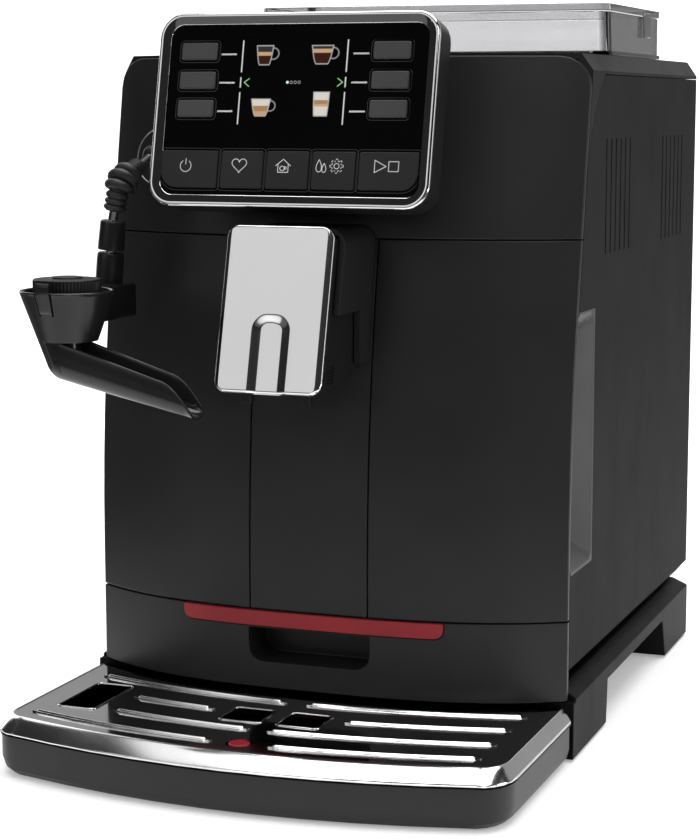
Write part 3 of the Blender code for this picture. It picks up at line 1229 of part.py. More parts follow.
def make_chassis():
    """The inner frame: a floor, two side walls, dividers, the service bay and the tank bay."""
    low = (-CHASSIS_WALL_OUTER_X, FRONT_EDGE_Y - FRONT_SAG, CHASSIS_FLOOR_Z)
    high = (CHASSIS_WALL_OUTER_X, CHASSIS_REAR_Y, CHASSIS_FLOOR_TOP_Z)
    chassis = block("inner_chassis", low, high, "black_plastic")
    for side in (-1, 1):
        across = sorted((side * CHASSIS_WALL_INNER_X, side * CHASSIS_WALL_OUTER_X))
        top = SIDE_TOP_Z - WALL
        low = (across[0], CHASSIS_WALL_FRONT_Y, CHASSIS_BASE_Z)
        weld(chassis, block("chassis_wall", low, (across[1], CHASSIS_REAR_Y - GAP, top)))
        across = sorted((side * DIVIDER_INNER_X, side * DIVIDER_OUTER_X))
        low = (across[0], FRONT_EDGE_Y - FRONT_SAG, CHASSIS_FLOOR_TOP_Z - WALL / 2)
        rear = DIVIDER_REAR_Y if side > 0 else TANK_LOW[1]
        reach = (BAY_TOP_Z if side > 0 else CHASSIS_TOP_Z)
        weld(chassis, block("divider", low, (across[1], rear, reach)))
    low = (DIVIDER_INNER_X + GAP, FRONT_EDGE_Y - FRONT_SAG, BAY_TOP_Z - WALL)
    high = (DIVIDER_OUTER_X - GAP, FRONT_EDGE_Y + POST_DEPTH, CHASSIS_TOP_Z)
    weld(chassis, block("divider_post", low, high))
    low = (DIVIDER_OUTER_X - WALL / 2, BAY_REAR_Y, CHASSIS_FLOOR_TOP_Z - WALL / 2)
    high = (CHASSIS_WALL_INNER_X + WALL / 2, BAY_REAR_Y + WALL, BAY_TOP_Z - GAP)
    weld(chassis, block("bay_rear", low, high))
    low = (TANK_WALL_X, TANK_LOW[1] - WALL, CHASSIS_FLOOR_TOP_Z - WALL / 2)
    high = (TANK_WALL_X + WALL, CHASSIS_REAR_Y - 2 * GAP, SIDE_TOP_Z - 2 * WALL)
    weld(chassis, block("tank_wall", low, high))
    low = (THROAT_CENTRE[0], THROAT_CENTRE[1])
    stand_low = CHASSIS_FLOOR_TOP_Z - WALL / 2
    weld(chassis, disc("grinder_stand", low, STAND_RADIUS, stand_low, MOTOR_BOTTOM_Z - GAP))
    cut(chassis, space_in_front("chassis_front_space", WALL + GAP))
    low = (CHUTE_LOW[0], CHUTE_LOW[1], CHASSIS_FLOOR_Z - OVERSHOOT)
    cut(chassis, block("grounds_chute", low, (CHUTE_HIGH[0], CHUTE_HIGH[1], CHASSIS_FLOOR_TOP_Z + GAP)))


def make_tank():
    """The water tank, which lifts out of the top, and its hinged lid."""
    middle = ((TANK_LOW[0] + TANK_HIGH[0]) / 2, (TANK_LOW[1] + TANK_HIGH[1]) / 2)
    origin = (middle[0], middle[1], TANK_LOW[2])
    outer = rounded(TANK_LOW[:2], TANK_HIGH[:2], TANK_CORNER)
    tank = prism("water_tank", outer, 2, TANK_LOW[2], TANK_HIGH[2], "clear_plastic", origin=origin,
                 smooth=True)
    low = (TANK_LOW[0] + TANK_WALL, TANK_LOW[1] + TANK_WALL)
    high = (TANK_HIGH[0] - TANK_WALL, TANK_HIGH[1] - TANK_WALL)
    inner = rounded(low, high, TANK_CORNER - TANK_WALL)
    cut(tank, prism("tank_space", inner, 2, TANK_LOW[2] + TANK_WALL, TANK_HIGH[2] + OVERSHOOT))
    hinge = (middle[0], TANK_HIGH[1], TANK_LID_TOP_Z)
    prism("tank_lid", outer, 2, TANK_LID_BOTTOM_Z, TANK_LID_TOP_Z, "charcoal_plastic", origin=hinge,
          smooth=True)


def make_hopper():
    """The smoked bean hopper: a rim above the cover and a funnel down to the grinder."""
    steps = 3

    def ring(inset, z, lean=0):
        low = (HOPPER_LOW[0] + inset, HOPPER_LOW[1] + inset + lean)
        high = (HOPPER_HIGH[0] - inset, HOPPER_HIGH[1] - inset)
        return [(x, y, z) for x, y in rounded(low, high, max(HOPPER_CORNER - max(inset, 0), WALL), steps)]

    def throat(inset, z):
        half = THROAT_HALF - inset
        low = (THROAT_CENTRE[0] - half, THROAT_CENTRE[1] - half)
        high = (THROAT_CENTRE[0] + half, THROAT_CENTRE[1] + half)
        return [(x, y, z) for x, y in rounded(low, high, WALL, steps)]
    wall = HOPPER_WALL
    draft = HOPPER_FRONT_DRAFT
    rings = [
        throat(0, THROAT_Z),
        throat(0, THROAT_Z + 2 * WALL),
        ring(HOPPER_DROP, HOPPER_FLOOR_Z),
        ring(HOPPER_DROP, HOPPER_FLANGE_LOW_Z),
        ring(-HOPPER_FLANGE, HOPPER_FLANGE_LOW_Z, draft),
        ring(-HOPPER_FLANGE, HOPPER_FLANGE_HIGH_Z, draft),
        ring(0, HOPPER_FLANGE_HIGH_Z, draft),
        ring(0, HOPPER_TOP_Z),
        ring(wall, HOPPER_TOP_Z),
        ring(wall, HOPPER_FLANGE_HIGH_Z, draft),
        ring(wall + HOPPER_DROP, HOPPER_FLANGE_LOW_Z),
        ring(wall + HOPPER_DROP, HOPPER_FLOOR_Z + wall / 2),
        throat(wall, THROAT_Z + 2 * WALL + wall / 2),
        throat(wall, THROAT_Z),
    ]
    loft("bean_hopper", rings, "smoked_plastic", closed=True)
    hinge = ((LID_LOW[0] + LID_HIGH[0]) / 2, LID_HIGH[1], LID_BOTTOM_Z)
    outline = rounded(LID_LOW, LID_HIGH, HOPPER_CORNER)
    lid = prism("hopper_lid", outline, 2, LID_BOTTOM_Z, LID_TOP_Z, "smoked_plastic", origin=hinge)
    low = (HOPPER_HIGH[0] + 2 * GAP, LID_LATCH_Y, LID_BOTTOM_Z - LID_LATCH_SIZE[2])
    high = (low[0] + LID_LATCH_SIZE[0], LID_LATCH_Y + LID_LATCH_SIZE[1], LID_BOTTOM_Z + WALL / 2)
    weld(lid, block("lid_latch", low, high))


def make_grinder():
    """The grinder: a housing with a bore and a ring on three arms, and the motor below it."""
    centre = THROAT_CENTRE
    place = Matrix.Translation((centre[0], centre[1], 0))
    profile = [
        (GRINDER_BORE_BOTTOM, GRINDER_BOTTOM_Z),
        (GRINDER_RADIUS, GRINDER_BOTTOM_Z),
        (GRINDER_RADIUS, GRINDER_TOP_Z),
        (GRINDER_BORE, GRINDER_TOP_Z),
        (GRINDER_BORE, BURR_BOTTOM_Z - GAP),
        (GRINDER_BORE_BOTTOM, BURR_BOTTOM_Z - GAP),
    ]
    housing = turned("grinder_housing", profile, "black_plastic", segments=28, place=place)
    low = GRINDER_TOP_Z - SPIDER_HEIGHT
    for arm in range(SPIDER_ARMS):
        turn = place @ Matrix.Rotation(2 * math.pi * arm / SPIDER_ARMS, 4, "Z")
        high = (GRINDER_BORE + WALL, WALL / 2, GRINDER_TOP_Z - GAP)
        weld(housing, block("spider_arm", (0, -WALL / 2, low), high, place=turn))
    weld(housing, disc("spider_ring", centre, SPIDER_RADIUS, low - GAP, GRINDER_TOP_Z - 2 * GAP, segments=24))
    hole = KNOB_STEM_RADIUS + GAP
    cut(housing, disc("spider_hole", centre, hole, low - OVERSHOOT, GRINDER_TOP_Z + OVERSHOOT, segments=24))
    profile = [
        (0, MOTOR_BOTTOM_Z),
        (MOTOR_RADIUS, MOTOR_BOTTOM_Z),
        (MOTOR_RADIUS, GRINDER_BOTTOM_Z - GAP),
        (GRINDER_BORE_BOTTOM / 2, GRINDER_BOTTOM_Z - GAP),
        (GRINDER_BORE_BOTTOM / 2, BURR_BOTTOM_Z - GAP),
        (0, BURR_BOTTOM_Z - GAP),
    ]
    turned("grinder_motor", profile, "dull_steel", segments=24, place=place)
    make_burr(centre)
    make_knob(centre)


def make_burr(centre):
    """A cone with slanting flutes."""
    levels = 4
    rings = []
    for level in range(levels + 1):
        share = level / levels
        height = BURR_BOTTOM_Z + (BURR_TOP_Z - BURR_BOTTOM_Z) * share
        radius = BURR_LOW_RADIUS + (BURR_HIGH_RADIUS - BURR_LOW_RADIUS) * share
        ring = []
        for step in range(2 * BURR_FLUTES):
            angle = math.pi * step / BURR_FLUTES + share * math.pi / BURR_FLUTES
            reach = radius * (1 - (step % 2) / 8)
            ring.append((centre[0] + reach * math.cos(angle), centre[1] + reach * math.sin(angle), height))
        rings.append(ring)
    loft("lower_burr", rings, "ceramic", origin=(centre[0], centre[1], BURR_BOTTOM_Z))


def make_knob(centre):
    """The grind adjuster, whose stem turns in the housing's three armed ring, with a wing."""
    origin = (centre[0], centre[1], KNOB_BOTTOM_Z)
    shoulder = GRINDER_TOP_Z
    profile = [
        (0, KNOB_BOTTOM_Z),
        (KNOB_STEM_RADIUS, KNOB_BOTTOM_Z),
        (KNOB_STEM_RADIUS, shoulder),
        (KNOB_RADIUS, shoulder),
        (KNOB_RADIUS, KNOB_TOP_Z - WALL),
        (KNOB_RADIUS - WALL / 3, KNOB_TOP_Z - 2 * WALL / 3),
        (0, KNOB_TOP_Z - 2 * WALL / 3),
    ]
    knob = turned("grind_knob", profile, "black_plastic", segments=20, origin=origin,
                  place=Matrix.Translation((centre[0], centre[1], 0)))
    half = (KNOB_RADIUS * 5 / 6, WALL / 2)
    low = (centre[0] - half[0], centre[1] - half[1], KNOB_TOP_Z - WALL)
    weld(knob, block("knob_wing", low, (centre[0] + half[0], centre[1] + half[1], KNOB_TOP_Z + WALL)))


def make_brewing_parts():
    """The brewing unit in its bay, the boiler and the pump."""
    body = block("brew_group", BREW_LOW, BREW_HIGH, "black_plastic")
    middle = [(low + high) / 2 for low, high in zip(BREW_LOW, BREW_HIGH)]
    radius = (BREW_HIGH[0] - BREW_LOW[0]) / 3
    cut(body, disc("brew_chamber", (middle[0], middle[1]), radius, middle[2], BREW_HIGH[2] + OVERSHOOT))
    low = (BREW_LOW[0] + 2 * WALL, BREW_LOW[1] - OVERSHOOT, BREW_LOW[2] + 5 * WALL)
    high = (BREW_HIGH[0] - 2 * WALL, BREW_LOW[1] + 4 * WALL, middle[2] - 2 * WALL)
    cut(body, block("brew_handle_space", low, high))
    disc("boiler", BOILER_CENTRE, BOILER_RADIUS, BOILER_LOW_Z, BOILER_HIGH_Z, "dull_steel", segments=28)
    disc("pump", PUMP_CENTRE, PUMP_RADIUS, PUMP_X[0], PUMP_X[1], "copper", segments=24, axis=0)


def skin_frame():
    """A frame on the fascia at the steam joint, with Z out of the curved skin."""
    x, z = ESCUTCHEON_X, ESCUTCHEON_Z
    step = WALL
    along = Vector((2 * step, front_depth(x + step, z) - front_depth(x - step, z), 0)).normalized()
    up = Vector((0, front_depth(x, z + step) - front_depth(x, z - step), 2 * step)).normalized()
    out = along.cross(up).normalized()
    frame = Matrix((along, out.cross(along), out)).transposed().to_4x4()
    frame.translation = Vector((x, front_depth(x, z), z))
    return frame


STEAM_JOINT = skin_frame()
WAND_PIVOT = STEAM_JOINT @ Vector((0, 0, ESCUTCHEON_PROUD + WAND_BALL_PROUD))
WAND = Matrix.Translation(WAND_FOOT) @ Matrix.Rotation(WAND_TILT, 4, "Y")


def wand_route():
    """The pipe's middle line: forward from its ball, round an even bend, then down to its end."""
    pivot = Vector(WAND_PIVOT)
    corner = Vector(WAND_CORNER)
    knee = WAND @ Vector((0, 0, PIPE_KNEE))
    inward = (pivot - corner).normalized()
    down = (knee - corner).normalized()
    half = inward.angle(down) / 2
    reach = WAND_BEND / math.tan(half)
    centre = corner + (inward + down).normalized() * WAND_BEND / math.sin(half)
    start = corner + inward * reach - centre
    end = corner + down * reach - centre
    sweep = start.angle(end)
    route = [pivot]
    steps = 12
    for step in range(steps + 1):
        share = step / steps
        part = (start * math.sin((1 - share) * sweep) + end * math.sin(share * sweep)) / math.sin(sweep)
        route.append(centre + part)
    return route + [knee, WAND @ Vector((0, 0, PIPE_END))]


def resampled(route, low, high, spacing):
    """Evenly spaced points along a route, between two lengths from its end."""
    lengths = [0]
    for near, far in zip(route, route[1:]):
        lengths.append(lengths[-1] + (far - near).length)
    total = lengths[-1]
    points = []
    for target in spaced(total - high, total - low, spacing):
        number = max(index for index, length in enumerate(lengths[:-1]) if length <= target + GAP / 30)
        span = lengths[number + 1] - lengths[number]
        points.append(route[number].lerp(route[number + 1], (target - lengths[number]) / span))
    return points


def tube_rings(path, radii, sides):
    """Rings square to a path, kept from twisting by one fixed sideways direction."""
    rings = []
    for number, point in enumerate(path):
        ahead = path[min(number + 1, len(path) - 1)] - path[max(number - 1, 0)]
        up = ahead.cross(Vector((1, 0, 0))).normalized()
        across = up.cross(ahead).normalized()
        ring = []
        for side in range(sides):
            angle = 2 * math.pi * side / sides
            ring.append(point + radii[number] * (math.cos(angle) * across + math.sin(angle) * up))
        rings.append(ring)
    return rings


def make_wand():
    """The steam wand: a ball joint on the fascia, a bent pipe and its ribbed rubber grip."""
    base = disc("wand_escutcheon", (0, 0), ESCUTCHEON_RADIUS, -ESCUTCHEON_DEPTH, ESCUTCHEON_PROUD,
                "gloss_black", segments=32, place=STEAM_JOINT)
    cut(base, space_behind("escutcheon_back_space", -GAP))
    at_pivot = Matrix.Translation(WAND_PIVOT)
    cut(base, turned("ball_socket", ball_profile(SOCKET_RADIUS, 6), segments=16, place=at_pivot))
    path = wand_route()
    rings = tube_rings(path, [PIPE_RADIUS] * len(path), 14)
    pipe = loft("wand_pipe", rings, "chrome", origin=WAND_PIVOT, smooth=True)
    weld(pipe, turned("wand_ball", ball_profile(WAND_BALL_RADIUS, 6), segments=16, place=at_pivot))
    make_wand_grip(path)


def ball_profile(radius, steps):
    profile = []
    for step in range(steps + 1):
        angle = -math.pi / 2 + math.pi * step / steps
        profile.append((max(radius * math.cos(angle), 0), radius * math.sin(angle)))
    return profile


def make_wand_grip(route):
    """The rubber grip: fine rings at its upper end, then six swelling ribs."""
    low = GRIP_END - PIPE_END
    path = resampled(route, low, low + GRIP_LENGTH, GRIP_FINE_PITCH / 2)
    radii = []
    for number in range(len(path)):
        along = GRIP_LENGTH * number / (len(path) - 1)
        radius = GRIP_RADIUS + GRIP_FINE_RIB * (number % 2)
        for place, peak in GRIP_RIBS:
            share = min(abs(along - place) / GRIP_RIB_HALF, 1)
            radius = max(radius, GRIP_RADIUS + (peak - GRIP_RADIUS) * math.sqrt(1 - share ** 2))
        radii.append(radius)
    outer = tube_rings(path, radii, 16)
    inner = tube_rings(path, [PIPE_BORE] * len(path), 16)
    loft("wand_grip", outer + inner[::-1], "rubber", closed=True, origin=WAND_PIVOT, smooth=True)


def make_frother():
    """The frother: a sleeve on the pipe, and a holder with funnel and pouring trough."""
    profile = [
        (PIPE_BORE, SLEEVE_BOTTOM),
        (SLEEVE_MIDDLE_RADIUS, SLEEVE_BOTTOM),
        (SLEEVE_TOP_RADIUS, SLEEVE_TOP - WALL / 3),
        (SLEEVE_TOP_RADIUS - WALL / 3, SLEEVE_TOP),
        (PIPE_BORE, SLEEVE_TOP),
    ]
    turned("frother_sleeve", profile, "black_plastic", segments=24, place=WAND, origin=WAND_PIVOT)
    x, y = FUNNEL_CENTRE
    cone = Matrix.Translation((x, y, 0))
    profile = [
        (0, FUNNEL_BOTTOM_Z),
        (FUNNEL_BOTTOM_RADIUS, FUNNEL_BOTTOM_Z),
        (FUNNEL_TOP_RADIUS, FUNNEL_TOP_Z),
        (0, FUNNEL_TOP_Z),
    ]
    holder = turned("frother_holder", profile, "gloss_black", segments=32, place=cone, origin=WAND_PIVOT)
    weld(holder, loft("trough_outer", trough_rings(0, 0, TROUGH_START_X, TROUGH_END_X)))
    wall = FUNNEL_WALL
    slope = (FUNNEL_TOP_RADIUS - FUNNEL_BOTTOM_RADIUS) / (FUNNEL_TOP_Z - FUNNEL_BOTTOM_Z)
    top = FUNNEL_TOP_Z + OVERSHOOT
    profile = [
        (0, FUNNEL_BOTTOM_Z + wall),
        (FUNNEL_BOTTOM_RADIUS - wall, FUNNEL_BOTTOM_Z + wall),
        (FUNNEL_BOTTOM_RADIUS - wall + (top - FUNNEL_BOTTOM_Z - wall) * slope, top),
        (0, top),
    ]
    cut(holder, turned("funnel_space", profile, segments=32, place=cone))
    cut(holder, loft("trough_space", trough_rings(TROUGH_WALL, OVERSHOOT, x, TROUGH_END_X + OVERSHOOT)))
    low = (x - ARM_HALF_WIDTH, y, ARM_BOTTOM_Z)
    weld(holder, block("holder_arm", low, (x + ARM_HALF_WIDTH, ARM_REAR_Y, ARM_TOP_Z)))
    cut(holder, disc("cap_recess", (x, y), CAP_RADIUS + SEAM, CAP_BOTTOM_Z - WALL, CAP_TOP_Z + OVERSHOOT))
    weld(holder, disc("holder_boss", (x, y), BOSS_RADIUS, ARM_BOTTOM_Z - wall, CAP_BOTTOM_Z - GAP))
    profile = [
        (0, -WALL),
        (SLEEVE_LOW_RADIUS, -WALL),
        (SLEEVE_MIDDLE_RADIUS, HOLDER_SLEEVE_TOP),
        (0, HOLDER_SLEEVE_TOP),
    ]
    weld(holder, turned("holder_sleeve", profile, segments=24, place=WAND))
    bore_top = HOLDER_SLEEVE_TOP + OVERSHOOT
    cut(holder, disc("pipe_bore", (0, 0), PIPE_BORE, PIPE_END - GAP, bore_top, segments=24, place=WAND))
    make_tongue(holder)
    make_cap()


def trough_rings(inset, lift, start, end):
    """U-shaped cross sections of the trough, along X, shrunk by an inset and raised by a lift."""
    rings = []
    columns = spaced(start, TROUGH_BEND_X, 4 * TROUGH_STEP) + spaced(TROUGH_BEND_X, end, TROUGH_STEP)[1:]
    for x in columns:
        share = (x - TROUGH_START_X) / (TROUGH_END_X - TROUGH_START_X)
        half = TROUGH_HALF_WIDTHS[0] + (TROUGH_HALF_WIDTHS[1] - TROUGH_HALF_WIDTHS[0]) * share - inset
        bottom = TROUGH_BOTTOM[0] + (TROUGH_BOTTOM[1] - TROUGH_BOTTOM[0]) * share + inset
        rim = trough_rim(x)
        deep = min(half, max(rim - bottom, GAP))
        ring = [(x, FUNNEL_CENTRE[1] + half, rim + TROUGH_FAR_RISE + lift)]
        for step in range(9):
            angle = step * math.pi / 8
            y = FUNNEL_CENTRE[1] + half * math.cos(angle)
            ring.append((x, y, bottom + deep * (1 - math.sin(angle))))
        ring.append((x, FUNNEL_CENTRE[1] - half, rim + lift))
        rings.append(ring)
    return rings


def trough_rim(x):
    """The height of the trough's rim: straight, then falling to the lip in an arc."""
    if x <= TROUGH_BEND_X:
        share = (x - TROUGH_START_X) / (TROUGH_BEND_X - TROUGH_START_X)
        return TROUGH_RIM[0] + (TROUGH_RIM[1] - TROUGH_RIM[0]) * share
    share = min((x - TROUGH_BEND_X) / (TROUGH_END_X - TROUGH_BEND_X), 1)
    return TROUGH_RIM[1] + (TROUGH_RIM[2] - TROUGH_RIM[1]) * share ** TROUGH_LIP_POWER


def make_tongue(holder):
    """A springy clip tongue in the funnel's wall, between two slots."""
    turn = Matrix.Translation((FUNNEL_CENTRE[0], FUNNEL_CENTRE[1], 0)) @ Matrix.Rotation(TONGUE_ANGLE, 4, "Z")
    radius = FUNNEL_TOP_RADIUS
    low = (-TONGUE_HALF_WIDTH, -radius + GAP, FUNNEL_TOP_Z - SLOT_DEPTH / 2)
    weld(holder, block("tongue", low, (TONGUE_HALF_WIDTH, -radius + FUNNEL_WALL, TONGUE_TOP_Z), place=turn))
    for side in (-1, 1):
        across = sorted((side * (TONGUE_HALF_WIDTH + GAP), side * (TONGUE_HALF_WIDTH + GAP + SLOT_WIDTH)))
        low = (across[0], -radius - WALL, FUNNEL_TOP_Z - SLOT_DEPTH)
        high = (across[1], -radius + 3 * WALL, FUNNEL_TOP_Z + OVERSHOOT)
        cut(holder, block("tongue_slot", low, high, place=turn))


def make_cap():
    """The knurled regulator cap on top of the funnel."""
    x, y = FUNNEL_CENTRE
    outline = []
    for step in range(2 * CAP_SCALLOPS):
        angle = math.pi * step / CAP_SCALLOPS
        radius = CAP_RADIUS - (step % 2) * CAP_SCALLOP_DEPTH
        outline.append((x + radius * math.cos(angle), y + radius * math.sin(angle)))
    top = CAP_TOP_Z - WALL / 2
    cap = prism("frother_cap", outline, 2, CAP_BOTTOM_Z, top, "black_plastic", origin=(x, y, CAP_BOTTOM_Z))
    weld(cap, disc("cap_knob", (x, y), CAP_KNOB_RADIUS, top - WALL / 2, CAP_TOP_Z, segments=24))


def build():
    clear_scene()
    make_plinth()
    make_side_panel(-1)
    add_finger_grip(make_side_panel(1))
    make_top_cover()
    make_rear_panel()
    make_inlet()
    make_switch()
    make_fronts()
    make_drawer()
    make_dregs_box()
    make_tray()
    make_grille()
    make_float()
    make_panel_housing()
    make_panel_bezel()
    make_panel_face()
    make_display()
    make_spout_guide()
    make_spout()
    make_chassis()
    make_tank()
    make_hopper()
    make_grinder()
    make_brewing_parts()
    make_wand()
    make_frother()


build()
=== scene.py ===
# %% [markdown]
# # A bean to cup coffee machine
# The lesson dresses a finished CAD model of a kitchen coffee machine. The solids come in as a
# fixed frame. Some keep their own shape and only get rounder edges and a better finish. Others
# are replaced by finer surfaces, each worked out with numpy from a formula.

# %% Load the fixed frame
import math

import bmesh
import bpy
import numpy as np
from mathutils import Matrix, Vector


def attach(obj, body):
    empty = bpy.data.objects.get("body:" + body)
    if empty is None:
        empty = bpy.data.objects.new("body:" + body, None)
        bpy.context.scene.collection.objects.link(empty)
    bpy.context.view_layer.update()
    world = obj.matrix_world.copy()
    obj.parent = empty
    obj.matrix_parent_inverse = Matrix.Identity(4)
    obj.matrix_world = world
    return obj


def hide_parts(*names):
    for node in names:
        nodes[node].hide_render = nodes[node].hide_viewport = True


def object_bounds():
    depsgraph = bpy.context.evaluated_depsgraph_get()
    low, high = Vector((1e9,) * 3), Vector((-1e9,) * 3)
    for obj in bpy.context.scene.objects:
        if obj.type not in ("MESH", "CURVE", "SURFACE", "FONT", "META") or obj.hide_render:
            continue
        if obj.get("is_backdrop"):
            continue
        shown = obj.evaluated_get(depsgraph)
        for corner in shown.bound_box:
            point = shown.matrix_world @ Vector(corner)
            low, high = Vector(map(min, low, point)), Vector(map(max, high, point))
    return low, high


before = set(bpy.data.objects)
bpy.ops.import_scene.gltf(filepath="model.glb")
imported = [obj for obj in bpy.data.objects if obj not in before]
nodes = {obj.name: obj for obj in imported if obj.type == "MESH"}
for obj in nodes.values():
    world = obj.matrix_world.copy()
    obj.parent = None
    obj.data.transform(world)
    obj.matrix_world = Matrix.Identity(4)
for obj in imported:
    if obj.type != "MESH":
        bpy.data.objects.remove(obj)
cad_low, cad_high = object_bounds()
print("solids:", len(nodes), "box in mm:", [round(1000 * side) for side in cad_high - cad_low])

# %% [markdown]
# ## The sizes that the skin shares with the solids
# The whole front of the machine is one shallow barrel that leans back towards the top. Every
# front panel is a piece of that one surface, so its formula is written once: the depth Y is a
# function of X and Z. The control panel and the coffee spout each stand on a leaning plane.

# %% The barrel front and the two leaning planes
SHIFT = -0.0064  # the solids' frame is centred on their own box
HALF_WIDTH = 0.130
EDGE_Y, FRONT_BOW = -0.0680, 0.0275
LEAN_FOOT, LEAN_RISE, LEAN_RADIUS = 0.095, 0.150, 0.833


def front_y(x, z):
    """Depth of the front: an edge line that leans back with height, minus a cubic bow in X."""
    rise = np.maximum(z - LEAN_FOOT, 0.0)
    curved = np.minimum(rise, LEAN_RISE)
    edge = EDGE_Y + curved**2 / (2 * LEAN_RADIUS) + LEAN_RISE / LEAN_RADIUS * (rise - curved)
    return edge - FRONT_BOW * (1 - np.abs(x / HALF_WIDTH) ** 3) + SHIFT


def leaning_plane(foot_y, foot_z, tilt):
    """A foot point and three unit vectors: right, up the plane, and out of it to the viewer."""
    up, out = (0.0, math.sin(tilt), math.cos(tilt)), (0.0, -math.cos(tilt), math.sin(tilt))
    return tuple(np.array(part) for part in ((0.0, foot_y + SHIFT, foot_z), (1.0, 0.0, 0.0), up, out))


def on_plane(plane, flat):
    """Points (x, up, out) on a plane become world points: foot + x right + up up + out out."""
    foot, right, up, out = plane
    flat = np.asarray(flat, float)
    return foot + flat[..., :1] * right + flat[..., 1:2] * up + flat[..., 2:3] * out


PANEL = leaning_plane(-0.1239, 0.2811, math.radians(12.5))
SPOUT = leaning_plane(-0.1486, 0.1928, math.atan2(0.0207, 0.0803))
print("front depth at the middle, mm:", round(1000 * float(front_y(0.0, 0.2)), 1))

# %% [markdown]
# ## From arrays to a piece
# A surface here is a grid of points. The cells of the grid become four-sided faces, and a loop
# of points can be closed by one face with many corners. One helper turns such arrays into a
# mesh, welds the rows that meet, points the faces outwards, and puts the piece on its body.

# %% Grids and pieces


def grid_faces(rows, columns, wrap_rows=False, wrap_columns=False):
    """Corners of every cell: (i, j), (i, j+1), (i+1, j+1), (i+1, j), counted row by row."""
    i = np.arange(rows if wrap_rows else rows - 1)
    j = np.arange(columns if wrap_columns else columns - 1)
    i, j = (part.ravel() for part in np.meshgrid(i, j, indexing="ij"))
    below, beside = (i + 1) % rows, (j + 1) % columns
    corners = (i * columns + j, i * columns + beside, below * columns + beside, below * columns + j)
    return np.stack(corners, axis=1)


def make_mesh(name, points, face_groups):
    """One mesh from points (N, 3) and groups of faces with equal corner counts."""
    points = np.asarray(points, np.float32).reshape(-1, 3)
    counts = np.concatenate([np.full(len(group), np.shape(group)[1]) for group in face_groups])
    corners = np.concatenate([np.asarray(group).ravel() for group in face_groups])
    mesh = bpy.data.meshes.new(name)
    mesh.vertices.add(len(points))
    mesh.vertices.foreach_set("co", points.ravel())
    mesh.loops.add(len(corners))
    mesh.loops.foreach_set("vertex_index", corners.astype(np.int32))
    mesh.polygons.add(len(counts))
    starts = np.concatenate([[0], np.cumsum(counts)[:-1]])
    mesh.polygons.foreach_set("loop_start", starts.astype(np.int32))
    mesh.update(calc_edges=True)
    return mesh


def placed(name, data):
    """An object in the scene for a mesh, a lamp or a camera."""
    thing = bpy.data.objects.new(name, data)
    bpy.context.scene.collection.objects.link(thing)
    return thing


def make_piece(name, surface, finish, body, stands_for=(), angle=38):
    """A closed piece: welded, facing out, smooth up to an angle, riding on its body."""
    mesh = make_mesh(name, *surface)
    shape = bmesh.new()
    shape.from_mesh(mesh)
    bmesh.ops.remove_doubles(shape, verts=shape.verts, dist=2e-6)
    bmesh.ops.recalc_face_normals(shape, faces=shape.faces)
    shape.to_mesh(mesh)
    shape.free()
    mesh.shade_smooth()
    mesh.set_sharp_from_angle(angle=math.radians(angle))
    mesh.materials.append(finish)
    piece = placed(name, mesh)
    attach(piece, body)
    if stands_for:
        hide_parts(*stands_for)
    print(name, "faces:", len(mesh.polygons))
    return piece


def skin(rings, close_rows=False):
    """Rings (R, N, 3) of points joined in order; open ends are closed by one face each."""
    rings = np.asarray(rings, float)
    rows, columns = rings.shape[:2]
    groups = [grid_faces(rows, columns, wrap_rows=close_rows, wrap_columns=True)]
    if not close_rows:
        groups.append(np.arange(columns)[None, ::-1])
        groups.append((np.arange(columns) + (rows - 1) * columns)[None, :])
    return rings.reshape(-1, 3), groups


def joined(parts):
    """Several (points, face groups) as one: each part's faces count on from the last."""
    points, groups, start = [], [], 0
    for places, faces in parts:
        points.append(places)
        groups += [np.asarray(group) + start for group in faces]
        start += len(places)
    return np.concatenate(points), groups


def at_level(plan, level):
    """Flat points (x, y) as points in space, all at one height."""
    return np.column_stack([plan, np.full(len(plan), level)])


# %% [markdown]
# ## Finishes shared by many pieces
# Moulded plastic has a fine spark-eroded grain and a slow unevenness from the way the melt
# flowed. Both are made once, as a node group that gives numbers only. Each material takes them
# with its own scale and keeps its own shader.

# %% Node groups: moulded grain, soft smears and dust


def feed(tree, node, inputs):
    """Each input takes a number, a colour, or a link from another node's socket."""
    for key, value in inputs.items():
        if isinstance(value, bpy.types.NodeSocket):
            tree.links.new(value, node.inputs[key])
        else:
            node.inputs[key].default_value = value


def add(tree, kind, inputs={}, **values):
    """A node with its properties and inputs set."""
    node = tree.nodes.new(kind)
    for key, value in values.items():
        setattr(node, key, value)
    feed(tree, node, inputs)
    return node


def group_tree(name, inputs, outputs):
    """A shader group with float inputs and outputs: its tree, what it is given, what it gives."""
    tree = bpy.data.node_groups.new(name, "ShaderNodeTree")
    for label, value in inputs.items():
        made = tree.interface.new_socket(label, in_out="INPUT", socket_type="NodeSocketFloat")
        made.default_value = value
    for label in outputs:
        tree.interface.new_socket(label, in_out="OUTPUT", socket_type="NodeSocketFloat")
    return tree, add(tree, "NodeGroupInput").outputs, add(tree, "NodeGroupOutput")


def coordinates(tree, kind="Object"):
    """A place on the piece itself, which goes with it when it moves."""
    return add(tree, "ShaderNodeTexCoord").outputs[kind]


def axes(tree, vector):
    """The X, Y and Z of a vector."""
    return add(tree, "ShaderNodeSeparateXYZ", {"Vector": vector}).outputs


def noise(tree, place, scale, detail=2.0, rough=0.5):
    """A noise texture at a place, from 0 to 1."""
    inputs = {"Vector": place, "Scale": scale, "Detail": detail, "Roughness": rough}
    return add(tree, "ShaderNodeTexNoise", inputs).outputs["Fac"]


